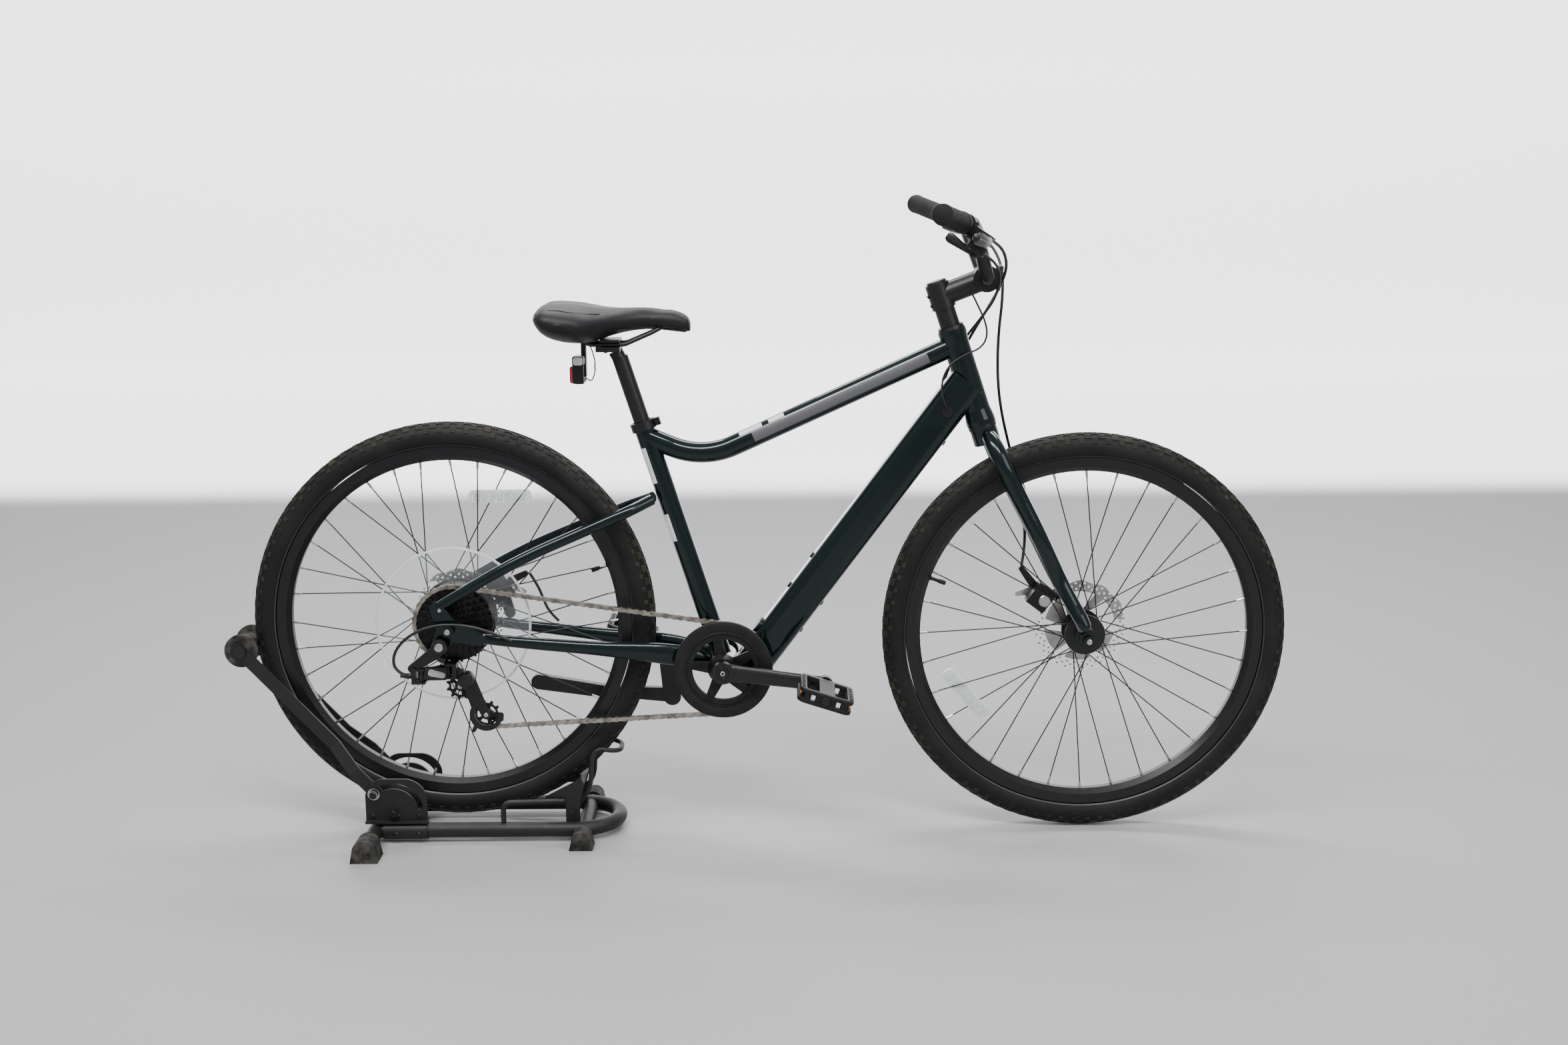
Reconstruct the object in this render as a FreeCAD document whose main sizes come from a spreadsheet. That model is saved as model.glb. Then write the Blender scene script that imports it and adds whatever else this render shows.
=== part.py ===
"""Bicycle held upright on a rear-wheel floor stand, in millimetres.

X runs from the rear wheel to the front wheel, Y from the drive side to the
far side and Z up. The origin lies on the floor under the middle of the length.
Heights and lengths are measured from the rear hub's X and from the floor.
"""
import FreeCAD, Part
import math
import os
import types

import Sketcher
from FreeCAD import Placement, Rotation, Vector

SIZES = (
    # wheels
    ("tyre_outer", 340.0, "radius over the tread"),
    ("tyre_section", 23.5, "radius of the tyre's section"),
    ("tyre_wall", 3.5, "thickness of the casing and tread"),
    ("tyre_centre", "=tyre_outer - tyre_section", "radius of the section's centre"),
    ("rim_inner", 276.0, "radius of the rim at the spoke holes"),
    ("rim_shoulder", 284.0, "radius where the rim reaches its full width"),
    ("rim_floor", 290.0, "radius of the tyre channel's floor"),
    ("rim_outer", 300.0, "radius of the rim flanges"),
    ("rim_half_width", 15.0, "half of the rim's width"),
    ("rim_channel", 12.3, "half of the tyre channel's width"),
    ("rim_nose", 6.0, "half of the width at the spoke holes"),
    ("bead_half_width", 12.0, "half of the width over the tyre's beads"),
    ("bead_thickness", 3.0, "thickness of a bead"),
    ("seat_gap", 0.3, "gap between pieces that only rest on each other"),
    ("fit_gap", 0.05, "radial running clearance of a shaft"),
    ("wheelbase", 1062.5, "rear axle to front axle"),
    ("stand_lift", 26.6, "rear wheel's height over the floor"),
    ("rear_axle_height", "=tyre_outer + stand_lift", "height of the rear axle"),
    ("spoke_radius", 1.0, "radius of a spoke"),
    ("front_spokes", 32.0, "spokes in the front wheel"),
    ("rear_spokes", 36.0, "spokes in the rear wheel"),
    # hubs and brakes
    ("front_flange", 34.0, "radius of the front hub's flanges"),
    ("front_flange_y", 26.0, "front flange from the middle plane"),
    ("front_barrel", 17.0, "radius of the front hub's barrel"),
    ("front_over_nuts", 48.5, "half of the front hub's length"),
    ("front_axle_radius", 4.5, "radius of the front axle"),
    ("motor_radius", 62.0, "radius of the rear hub motor"),
    ("rear_flange", 66.0, "radius of the rear hub's flanges"),
    ("drive_flange_y", 17.5, "drive-side flange's outer face from the middle"),
    ("far_flange_y", 36.0, "far flange's outer face from the middle"),
    ("flange_thickness", 3.0, "thickness of a spoke flange"),
    ("rear_axle_radius", 6.0, "radius of the rear axle"),
    ("rotor_radius", 80.0, "radius of a brake rotor"),
    ("rotor_track", 15.0, "width of a rotor's braking track"),
    ("rotor_thickness", 1.8, "thickness of a rotor"),
    ("front_rotor_y", 40.0, "front rotor from the middle plane"),
    ("rear_rotor_y", 50.0, "rear rotor from the middle plane"),
    # frame
    ("head_length", 165.0, "length of the head tube"),
    ("head_radius", 22.0, "radius of the head tube's waist"),
    ("head_bore", 17.0, "radius inside the head tube"),
    ("seat_tube_radius", 17.0, "radius of the seat tube"),
    ("seat_tube_length", 431.4, "bottom bracket to the top of the seat tube"),
    ("top_tube_radius", 17.5, "radius of the top tube"),
    ("tube_wall", 1.8, "wall of the round frame tubes"),
    ("down_tube_depth", 60.0, "height of the down tube's section"),
    ("down_tube_width", 52.0, "width of the down tube's section"),
    ("down_tube_wall", 2.5, "wall of the down tube"),
    ("shell_radius", 21.0, "radius of the bottom bracket shell"),
    ("shell_bore", 17.0, "radius inside the bottom bracket shell"),
    ("shell_length", 73.0, "width of the bottom bracket shell"),
    ("seat_stay_radius", 9.25, "radius of a seat stay"),
    ("dropout_y", 67.7, "inner face of a dropout from the middle"),
    ("dropout_thickness", 6.0, "thickness of a dropout"),
    ("kickstand_pin_radius", 5.0, "radius of the kickstand's pivot"),
    # drive
    ("bracket_x", 454.5, "bottom bracket ahead of the rear axle"),
    ("bracket_height", 291.5, "bottom bracket above the floor"),
    ("crank_length", 170.0, "bottom bracket to pedal axle"),
    ("crank_angle", -5.6, "drive-side crank above the horizontal, degrees"),
    ("crank_inner_y", 64.0, "inner face of a crank's boss"),
    ("spindle_radius", 8.5, "radius of the bottom bracket spindle"),
    ("pedal_axle_radius", 6.0, "radius of a pedal axle"),
    ("pedal_length", 88.0, "front to back of a pedal"),
    ("pedal_width", 95.0, "width of a pedal"),
    ("pedal_height", 24.0, "height of a pedal"),
    ("pedal_tilt", 18.0, "nose-down tilt of the pedals, degrees"),
    ("chain_pitch", 12.7, "pitch of the chain"),
    ("ring_teeth", 38.0, "teeth of the chainring"),
    ("ring_y", 48.0, "chainring from the middle plane"),
    ("cog_y", 28.0, "largest cog from the middle plane"),
    ("cog_spacing", 4.8, "from one cog to the next"),
    ("guard_radius", 83.0, "radius of the chain guard"),
    ("guard_window", 58.0, "radius inside the chain guard's rim"),
    ("pulley_teeth", 11.0, "teeth of a derailleur pulley"),
    # seat and bar
    ("seatpost_radius", 13.6, "radius of the seatpost"),
    ("seatpost_length", 330.0, "length of the seatpost"),
    ("rail_radius", 3.5, "radius of a saddle rail"),
    ("bar_radius", 11.1, "radius of the handlebar at the controls"),
    ("bar_clamp_radius", 15.9, "radius of the handlebar in the stem"),
    ("bar_half_width", 320.0, "middle plane to the end of the bar"),
    ("grip_radius", 16.0, "radius of a grip"),
    ("grip_length", 130.0, "length of a grip"),
    ("steerer_radius", 14.3, "radius of the fork's steerer"),
    # stand
    ("stand_tube_radius", 12.5, "radius of the stand's tubes"),
    ("stand_tube_wall", 1.5, "wall of the stand's tubes"),
    ("stand_leg_y", 70.0, "stand leg from the middle plane"),
    ("stand_leg_height", 19.0, "height of the leg tubes"),
    ("stand_plate", 4.0, "thickness of the stand's plates"),
    ("front_foot_radius", 16.0, "radius of a front foot"),
    ("rear_foot_radius", 19.0, "radius of a rear foot"),
    ("foot_flare", 4.0, "flare of a foot's sole on each side"),
    ("roller_x", 357.0, "stand roller behind the rear axle"),
    ("roller_height", 325.0, "height of the stand roller"),
    ("roller_flange", 28.0, "radius of the roller's flanges"),
    ("roller_rod", 6.0, "radius of the roller's rod"),
    ("hoop_radius", 4.0, "radius of the hoop's rod"),
    ("centre_x", "=(wheelbase + tyre_outer - roller_x - roller_flange) / 2",
     "middle of the length ahead of the rear axle"),
)

UP = Vector(0, 0, 1)
ACROSS = Vector(0, 1, 0)
FORWARD = Vector(1, 0, 0)
SIDES = (-1, 1)

doc = FreeCAD.newDocument("bicycle_on_stand")
sheet = doc.addObject("Spreadsheet::Sheet", "Sizes")
for row, (alias, content, meaning) in enumerate(SIZES, 1):
    sheet.set(f"A{row}", meaning)
    sheet.set(f"B{row}", str(content))
    sheet.setAlias(f"B{row}", alias)
doc.recompute()
s = types.SimpleNamespace(**{alias: float(sheet.get(alias)) for alias, _, _ in SIZES})

nodes = {}


def at(x, y, z):
    """Point given from the rear axle's X, the middle plane and the floor."""
    return Vector(x - s.centre_x, y, z)


def amount(size):
    """Value of a number, or of a cell's alias with or without a minus sign."""
    if not isinstance(size, str):
        return size
    if size.startswith("-"):
        return -getattr(s, size[1:])
    return getattr(s, size)


def bind(item, path, size):
    """Tie a property or constraint to a cell when the size names one."""
    if isinstance(size, str):
        sign = "-" if size.startswith("-") else ""
        item.setExpression(path, f"{sign}Sizes.{size.lstrip('-')}")


def node(label, *pieces):
    """Name a finished sub-part; several pieces become one group of solids."""
    if len(pieces) == 1:
        item = pieces[0]
    else:
        item = doc.addObject("Part::Compound", label)
        item.Links = list(pieces)
    item.Label = label
    nodes[label] = item
    return item


def feature(name, shape):
    item = doc.addObject("Part::Feature", name)
    item.Shape = shape
    return item


def cylinder(name, radius, height, start, along=UP):
    item = doc.addObject("Part::Cylinder", name)
    item.Radius = amount(radius)
    item.Height = amount(height)
    bind(item, "Radius", radius)
    bind(item, "Height", height)
    item.Placement = Placement(start, Rotation(UP, along))
    return item


def crosswise(name, radius, x, z, y_from, y_to):
    """Cylinder parallel to Y between two planes."""
    start = at(x, min(y_from, y_to), z)
    return cylinder(name, radius, abs(y_to - y_from), start, ACROSS)


def box(name, length, width, height, corner, rotation=None):
    item = doc.addObject("Part::Box", name)
    for path, size in (("Length", length), ("Width", width), ("Height", height)):
        setattr(item, path, amount(size))
        bind(item, path, size)
    item.Placement = Placement(corner, rotation or Rotation())
    return item


def cut(name, base, *tools):
    item = doc.addObject("Part::Cut", name)
    item.Base = base
    item.Tool = tools[0] if len(tools) == 1 else fuse(name + "_tools", *tools)
    return item


def fuse(name, *pieces):
    item = doc.addObject("Part::MultiFuse", name)
    item.Shapes = list(pieces)
    return item


def origin_plane(body, role):
    return next(item for item in body.Origin.OriginFeatures if item.Role == role)


def new_body(name, role):
    """Body with one empty sketch on an origin plane."""
    body = doc.addObject("PartDesign::Body", name)
    sketch = body.newObject("Sketcher::SketchObject", name + "_outline")
    sketch.AttachmentSupport = [(origin_plane(body, role), "")]
    sketch.MapMode = "FlatFace"
    return body, sketch


def turned(name, profile, centre, axis=ACROSS):
    """Body revolved from corners given as radius and distance along the axis."""
    body, sketch = new_body(name, "XY_Plane")
    corners = [Vector(amount(r), amount(along), 0) for r, along in profile]
    count = len(corners)
    for index, corner in enumerate(corners):
        sketch.addGeometry(Part.LineSegment(corner, corners[(index + 1) % count]), False)
    for index in range(count):
        joint = Sketcher.Constraint("Coincident", index, 2, (index + 1) % count, 1)
        sketch.addConstraint(joint)
    for index, sizes in enumerate(profile):
        for kind, size in zip(("DistanceX", "DistanceY"), sizes):
            rule = Sketcher.Constraint(kind, -1, 1, index, 1, amount(size))
            number = sketch.addConstraint(rule)
            bind(sketch, f"Constraints[{number}]", size)
    spin = body.newObject("PartDesign::Revolution", name + "_turned")
    spin.Profile = sketch
    spin.ReferenceAxis = (sketch, ["V_Axis"])
    spin.Angle = 360
    body.Placement = Placement(centre, Rotation(ACROSS, axis))
    return body


def hole(x, z, radius):
    return Part.Circle(Vector(x, z, 0), UP, radius)


def closed(points):
    """Straight-sided outline through flat points."""
    corners = [Vector(x, z, 0) for x, z in points]
    return [Part.LineSegment(a, b) for a, b in zip(corners, corners[1:] + corners[:1])]


def link_outline(start, start_radius, end, end_radius):
    """Outline of two round ends joined by their outer tangents."""
    first = Vector(start[0], start[1], 0)
    last = Vector(end[0], end[1], 0)
    run = last - first
    heading = math.atan2(run.y, run.x)
    spread = math.acos((start_radius - end_radius) / run.Length)

    def rim(centre, radius, angle):
        return centre + Vector(math.cos(angle), math.sin(angle), 0) * radius

    a = rim(first, start_radius, heading + spread)
    b = rim(first, start_radius, heading - spread)
    c = rim(last, end_radius, heading - spread)
    d = rim(last, end_radius, heading + spread)
    return [
        Part.Arc(a, rim(first, start_radius, heading + math.pi), b),
        Part.LineSegment(b, c),
        Part.Arc(c, rim(last, end_radius, heading), d),
        Part.LineSegment(d, a),
    ]


def plate(name, outline, thickness, near_y, middle_x=0.0):
    """Body padded across from an upright outline; near_y is its lower Y face."""
    body, sketch = new_body(name, "XZ_Plane")
    sketch.addGeometry(outline, False)
    pad = body.newObject("PartDesign::Pad", name + "_pad")
    pad.Profile = sketch
    pad.Reversed = True
    pad.Length = amount(thickness)
    bind(pad, "Length", thickness)
    body.Placement = Placement(at(middle_x, near_y, 0), Rotation())
    return body


def both_sides(near, thickness):
    """Lower Y face of a plate on each side whose inner face is at near."""
    return {-1: -near - thickness, 1: near}


def rounded_path(points, bend=None):
    """Straight runs joined by tangent arcs, as one wire."""
    edges = []
    start = points[0]
    for before, corner, after in zip(points, points[1:], points[2:]):
        back = before - corner
        ahead = after - corner
        half_turn = (math.pi - back.getAngle(ahead)) / 2
        shorter = min(back.Length, ahead.Length)
        radius = bend or 0.45 * shorter / math.tan(half_turn)
        reach = radius * math.tan(half_turn)
        back.normalize()
        ahead.normalize()
        inwards = (back + ahead).normalize()
        first = corner + back * reach
        middle = corner + inwards * (radius / math.cos(half_turn) - radius)
        last = corner + ahead * reach
        edges.append(Part.LineSegment(start, first))
        edges.append(Part.Arc(first, middle, last))
        start = last
    edges.append(Part.LineSegment(start, points[-1]))
    return Part.Wire([edge.toShape() for edge in edges])


def rod_shape(points, radius, bend=None):
    path = rounded_path(points, bend)
    heading = points[1] - points[0]
    section = Part.Wire([Part.Circle(points[0], heading, radius).toShape()])
    solid = path.makePipeShell([section], True, False)
    drift = abs(solid.Volume / (math.pi * radius ** 2 * path.Length) - 1)
    if drift > 0.001:
        raise ValueError(f"rod of radius {radius} has a wrong volume")
    return solid


def rod(name, points, radius, bend=None):
    return feature(name, rod_shape(points, radius, bend))


def cord(name, points, radius):
    """Cable housing; prints its length and its tightest bend."""
    radii = []
    for before, corner, after in zip(points, points[1:], points[2:]):
        back = before - corner
        ahead = after - corner
        half_turn = (math.pi - back.getAngle(ahead)) / 2
        radii.append(0.45 * min(back.Length, ahead.Length) / math.tan(half_turn))
    print(f"{name}: {rounded_path(points).Length:.0f} long, bends {min(radii):.0f} and up")
    return rod(name, points, radius)


def tapered(name, stations):
    """Tube through round or oval stations: centre, heading, half width, half height."""
    sections = []
    for centre, heading, half_width, half_height in stations:
        sideways = ACROSS
        upwards = heading.cross(sideways).normalize()
        if half_width >= half_height:
            major, minor, long_way = half_width, half_height, sideways
        else:
            major, minor, long_way = half_height, half_width, upwards
        if major - minor < 0.01:
            curve = Part.Circle(centre, heading, major)
        else:
            short_way = heading.cross(long_way).normalize()
            curve = Part.Ellipse(centre + long_way * major, centre + short_way * minor, centre)
        sections.append(Part.Wire([curve.toShape()]))
    return feature(name, Part.makeLoft(sections, True, False))


def ring_points(radius, angles, centre=(0, 0)):
    return [(centre[0] + radius * math.cos(math.radians(a)),
             centre[1] + radius * math.sin(math.radians(a))) for a in angles]


# ---------------------------------------------------------------- wheels

def wheel(end, centre_x, height, spoke_count, flange, flange_ys):
    """Tyre, rim and spokes of one wheel; returns nothing, names its nodes."""
    centre = at(centre_x, 0, height)
    casing = doc.addObject("Part::Torus", end + "_casing")
    hollow = doc.addObject("Part::Torus", end + "_air")
    for item in (casing, hollow):
        item.Radius1 = s.tyre_centre
        bind(item, "Radius1", "tyre_centre")
        item.Placement = Placement(centre, Rotation(UP, ACROSS))
    casing.Radius2 = s.tyre_section
    bind(casing, "Radius2", "tyre_section")
    hollow.Radius2 = s.tyre_section - s.tyre_wall
    hollow.setExpression("Radius2", "Sizes.tyre_section - Sizes.tyre_wall")
    mouth = cylinder(end + "_mouth", s.rim_outer + s.seat_gap, 2 * s.tyre_section,
                     centre - ACROSS * s.tyre_section, ACROSS)
    mouth.setExpression("Radius", "Sizes.rim_outer + Sizes.seat_gap")
    mouth.setExpression("Height", "2 * Sizes.tyre_section")
    cover = cut(end + "_cover", casing, hollow, mouth)
    inside = s.bead_half_width - s.bead_thickness
    bead_foot = s.rim_floor + s.seat_gap
    bead_top = s.rim_outer + 1.5
    beads = []
    for side in SIDES:
        profile = ((bead_foot, side * inside), (bead_top, side * inside),
                   (bead_top, side * s.bead_half_width), (bead_foot, side * s.bead_half_width))
        beads.append(turned(f"{end}_bead_{'far' if side > 0 else 'drive'}", profile, centre))
    node(end + "_tyre", fuse(end + "_tyre_whole", cover, *beads))

    rim_profile = (
        ("rim_inner", "-rim_nose"), ("rim_shoulder", "-rim_half_width"),
        ("rim_outer", "-rim_half_width"), ("rim_outer", "-rim_channel"),
        ("rim_floor", "-rim_channel"), ("rim_floor", "rim_channel"),
        ("rim_outer", "rim_channel"), ("rim_outer", "rim_half_width"),
        ("rim_shoulder", "rim_half_width"), ("rim_inner", "rim_nose"),
    )
    node(end + "_rim", turned(end + "_rim_body", rim_profile, centre))

    spokes = []
    half = int(spoke_count) // 2
    step = 2 * math.pi / half
    lean = step * 1.45
    for number in range(int(spoke_count)):
        side = number % 2
        turn = (number // 2) * step + side * step / 2
        trail = lean if (number // 2) % 2 else -lean
        root_radius = flange + s.seat_gap + s.spoke_radius
        layer = math.copysign(1.1 * s.spoke_radius, trail)
        root = Vector(root_radius * math.cos(turn + trail), flange_ys[side] + layer,
                      root_radius * math.sin(turn + trail))
        tip_y = math.copysign(s.rim_nose / 2, flange_ys[side]) + layer
        tip_radius = s.rim_inner - s.seat_gap
        tip = Vector(tip_radius * math.cos(turn), tip_y, tip_radius * math.sin(turn))
        run = tip - root
        spokes.append(Part.makeCylinder(s.spoke_radius, run.Length, centre + root, run))
    node(end + "_spokes", feature(end + "_spoke_set", Part.makeCompound(spokes)))


def rotor(name, centre_x, height, middle_y, hub_hole):
    """Disc with six windows between swept arms."""
    body, sketch = new_body(name, "XZ_Plane")
    rim = sketch.addGeometry(Part.Circle(Vector(), UP, s.rotor_radius), False)
    size = sketch.addConstraint(Sketcher.Constraint("Radius", rim, s.rotor_radius))
    bind(sketch, f"Constraints[{size}]", "rotor_radius")
    sketch.addGeometry(hole(0, 0, hub_hole), False)
    pad = body.newObject("PartDesign::Pad", name + "_disc")
    pad.Profile = sketch
    pad.Length = s.rotor_thickness
    bind(pad, "Length", "rotor_thickness")
    doc.recompute()
    window = body.newObject("Sketcher::SketchObject", name + "_window")
    window.AttachmentSupport = [(origin_plane(body, "XZ_Plane"), "")]
    window.MapMode = "FlatFace"
    track = s.rotor_radius - s.rotor_track
    hub_ring = hub_hole + 10
    outer = ring_points(track, (4, 26, 48))
    inner = ring_points(hub_ring, (20, 40, 60))
    flat = [Vector(x, z, 0) for x, z in outer + inner]
    window.addGeometry([
        Part.Arc(flat[0], flat[1], flat[2]),
        Part.LineSegment(flat[2], flat[5]),
        Part.Arc(flat[5], flat[4], flat[3]),
        Part.LineSegment(flat[3], flat[0]),
    ], False)
    pocket = body.newObject("PartDesign::Pocket", name + "_opening")
    pocket.Profile = window
    pocket.Type = "ThroughAll"
    pocket.Midplane = True
    pattern = body.newObject("PartDesign::PolarPattern", name + "_openings")
    pattern.Originals = [pocket]
    pattern.Axis = (origin_plane(body, "Y_Axis"), [""])
    pattern.Angle = 360
    pattern.Occurrences = 6
    body.Tip = pattern
    body.Placement = Placement(at(centre_x, middle_y + s.rotor_thickness / 2, height), Rotation())
    return body


def hub_parts():
    front = at(s.wheelbase, 0, s.tyre_outer)
    bore = s.front_axle_radius + s.fit_gap
    inner = s.front_flange_y - s.flange_thickness
    rotor_face = s.front_rotor_y - s.rotor_thickness / 2
    profile = [
        (bore, "-front_over_nuts"), (10.0, "-front_over_nuts"), (10.0, -36.0),
        ("front_barrel", -32.0), ("front_barrel", "-front_flange_y"),
        ("front_flange", "-front_flange_y"), ("front_flange", -inner),
        ("front_barrel", -inner), ("front_barrel", inner - 6),
        ("front_flange", inner - 6), ("front_flange", s.front_flange_y - 6),
        ("front_barrel", s.front_flange_y - 6),
        ("front_barrel", rotor_face), (10.0, rotor_face),
        (10.0, "front_over_nuts"), (bore, "front_over_nuts"),
    ]
    node("front_hub", turned("front_hub_body", profile, front))
    node("front_rotor", rotor("front_disc", s.wheelbase, s.tyre_outer, s.front_rotor_y,
                              10.0 + s.seat_gap))

    rear = at(0, 0, s.rear_axle_height)
    bore = s.rear_axle_radius + s.fit_gap
    step = s.flange_thickness
    rotor_face = s.rear_rotor_y - s.rotor_thickness / 2
    profile = [
        (bore, -26.2), (16.0, -26.2), (16.0, "-drive_flange_y"),
        ("rear_flange", "-drive_flange_y"), ("rear_flange", step - s.drive_flange_y),
        ("motor_radius", step - s.drive_flange_y), ("motor_radius", s.far_flange_y - step),
        ("rear_flange", s.far_flange_y - step), ("rear_flange", "far_flange_y"),
        (24.0, "far_flange_y"), (24.0, rotor_face), (11.0, rotor_face),
        (11.0, 64.0), (bore, 64.0),
    ]
    node("rear_hub", turned("rear_hub_body", profile, rear))
    node("rear_rotor", rotor("rear_disc", 0, s.rear_axle_height, s.rear_rotor_y,
                             11.0 + s.seat_gap))


def axle(label, centre_x, height, radius, reach, nut_radius, nut_from):
    """Axle with a nut outside each end."""
    shaft = crosswise(label + "_shaft", radius, centre_x, height, -reach, reach)
    nuts = [crosswise(f"{label}_nut_{index}", nut_radius, centre_x, height,
                      side * nut_from, side * (reach - 2.0)) for index, side in enumerate(SIDES)]
    node(label, fuse(label + "_whole", shaft, *nuts))


wheel("front", s.wheelbase, s.tyre_outer, s.front_spokes, s.front_flange,
      (1.5 - s.front_flange_y, s.front_flange_y - 7.5))
wheel("rear", 0, s.rear_axle_height, s.rear_spokes, s.rear_flange,
      (1.5 - s.drive_flange_y, s.far_flange_y - 1.5))
hub_parts()
front_tip = 49.0
axle("front_axle", s.wheelbase, s.tyre_outer, "front_axle_radius", 77.0, 9.0, 68.5)
axle("rear_axle", 0, s.rear_axle_height, "rear_axle_radius", 86.0, 10.0,
     s.dropout_y + s.dropout_thickness + 0.2)

# ---------------------------------------------------------------- frame

head_foot = at(887.5, 0, 696.0)
steering = Vector(-0.3117, 0, 0.9502).normalize()
seat_line = Vector(-0.3174, 0, 1).normalize()
bracket = at(s.bracket_x, 0, s.bracket_height)


def along_head(distance):
    return head_foot + steering * distance


def along_seat(distance):
    return bracket + seat_line * distance


head_flare = s.head_radius + 2.5
head_outline = [
    (head_flare, 0.0), (head_flare, 8.0), ("head_radius", 26.0),
    ("head_radius", s.head_length - 24.0), (head_flare - 1.0, s.head_length - 7.0),
    (head_flare - 1.0, "head_length"),
]


def solid_head(name):
    return turned(name, [(0.0, 0.0)] + head_outline + [(0.0, "head_length")], head_foot, steering)


def solid_seat_tube(name):
    return cylinder(name, "seat_tube_radius", "seat_tube_length", bracket, seat_line)


def solid_shell(name):
    half = s.shell_length / 2
    return crosswise(name, "shell_radius", s.bracket_x, s.bracket_height, -half, half)


def main_tubes():
    flare = head_flare
    top = s.head_length
    profile = [("head_bore", 0.0)] + head_outline + [("head_bore", "head_length")]
    node("head_tube", turned("head_tube_body", profile, head_foot, steering))

    bore = s.steerer_radius + s.fit_gap
    sleeve = s.head_bore - s.fit_gap
    lower = [(bore, -7.0), (flare - 1.0, -7.0), (flare - 1.0, 0.0), (sleeve, 0.0),
             (sleeve, 14.0), (bore, 14.0)]
    upper = [(bore, top - 14.0), (sleeve, top - 14.0), (sleeve, "head_length"),
             (flare - 2.0, "head_length"), (flare - 3.5, top + 6.0), (bore, top + 6.0)]
    node("headset_cups", turned("lower_cup", lower, head_foot, steering),
         turned("upper_cup", upper, head_foot, steering))

    bore_tool = cylinder("seat_tube_bore", s.seatpost_radius + s.fit_gap,
                         s.seat_tube_length + 2, bracket, seat_line)
    node("seat_tube", cut("seat_tube_coped", solid_seat_tube("seat_tube_blank"),
                          bore_tool, solid_shell("seat_tube_cope")))

    half = s.shell_length / 2
    bb_bore = crosswise("shell_bore_tool", "shell_bore", s.bracket_x, s.bracket_height,
                        -half - 1, half + 1)
    shell = cut("shell_bored", solid_shell("shell_blank"), bb_bore)
    inner = s.spindle_radius + s.fit_gap
    cup_outer = s.shell_bore - s.fit_gap
    cups = []
    for side in SIDES:
        profile = [(inner, side * (half - 11)), (cup_outer, side * (half - 11)),
                   (cup_outer, side * half), (20.0, side * half),
                   (20.0, side * (half + 3.5)), (inner, side * (half + 3.5))]
        cups.append(turned(f"bracket_cup_{side + 1}", profile, bracket))
    node("bottom_bracket_shell", shell, *cups)

    run = [at(333, 0, 678), at(425, 0, 640), at(846, 0, 829)]
    outer = rod_shape(run, s.top_tube_radius, 130)
    inner = rod_shape(run, s.top_tube_radius - s.tube_wall, 130)
    node("top_tube", cut("top_tube_coped", feature("top_tube_blank", outer.cut(inner)),
                         solid_seat_tube("top_tube_cope_rear"), solid_head("top_tube_cope_front")))


down_foot = at(474.8, 0, 251.6)
down_head = at(863.9, 0, 768.0)
down_axis = (down_head - down_foot).normalize()
down_length = (down_head - down_foot).Length
down_normal = ACROSS.cross(down_axis).normalize() * -1
down_turn = Rotation(down_axis, ACROSS, down_normal, "XYZ")


def on_down_tube(along, across, out):
    """Point from the down tube's foot: along it, across it, and off its axis."""
    return down_foot + down_axis * along + ACROSS * across + down_normal * out


def rounded_bar(name, length, width, depth, along, edge):
    """Box with rounded long edges, lying in the down tube."""
    blank = box(name + "_blank", length, width, depth,
                on_down_tube(along, -amount(width) / 2, -amount(depth) / 2), down_turn)
    doc.recompute()
    item = doc.addObject("Part::Fillet", name)
    item.Base = blank
    item.Edges = [(number, edge, edge) for number, side in enumerate(blank.Shape.Edges, 1)
                  if abs(side.Length - amount(length)) < 0.01]
    return item


def down_tube_and_battery():
    outer = rounded_bar("down_tube_outer", down_length, "down_tube_width",
                        "down_tube_depth", 0, 17.0)
    inner_width = s.down_tube_width - 2 * s.down_tube_wall
    inner_depth = s.down_tube_depth - 2 * s.down_tube_wall
    hollow = rounded_bar("down_tube_hollow", down_length + 4, inner_width, inner_depth, -2, 14.5)
    node("down_tube", cut("down_tube_coped", outer, hollow,
                          solid_head("down_tube_cope_front"), solid_shell("down_tube_cope_rear")))
    clear = 2 * s.seat_gap
    node("battery", rounded_bar("battery_case", 400.0, inner_width - clear,
                                inner_depth - clear, 90, 14.2))


def dropout_outline(side):
    hub = (0, s.rear_axle_height)
    arms = [((-18, 404), 11.0), ((50, 351.5), 11.0)]
    if side < 0:
        arms.append(((-20, 333), 12.0))
    return [link_outline(hub, 19.0, end, radius) for end, radius in arms]


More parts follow.
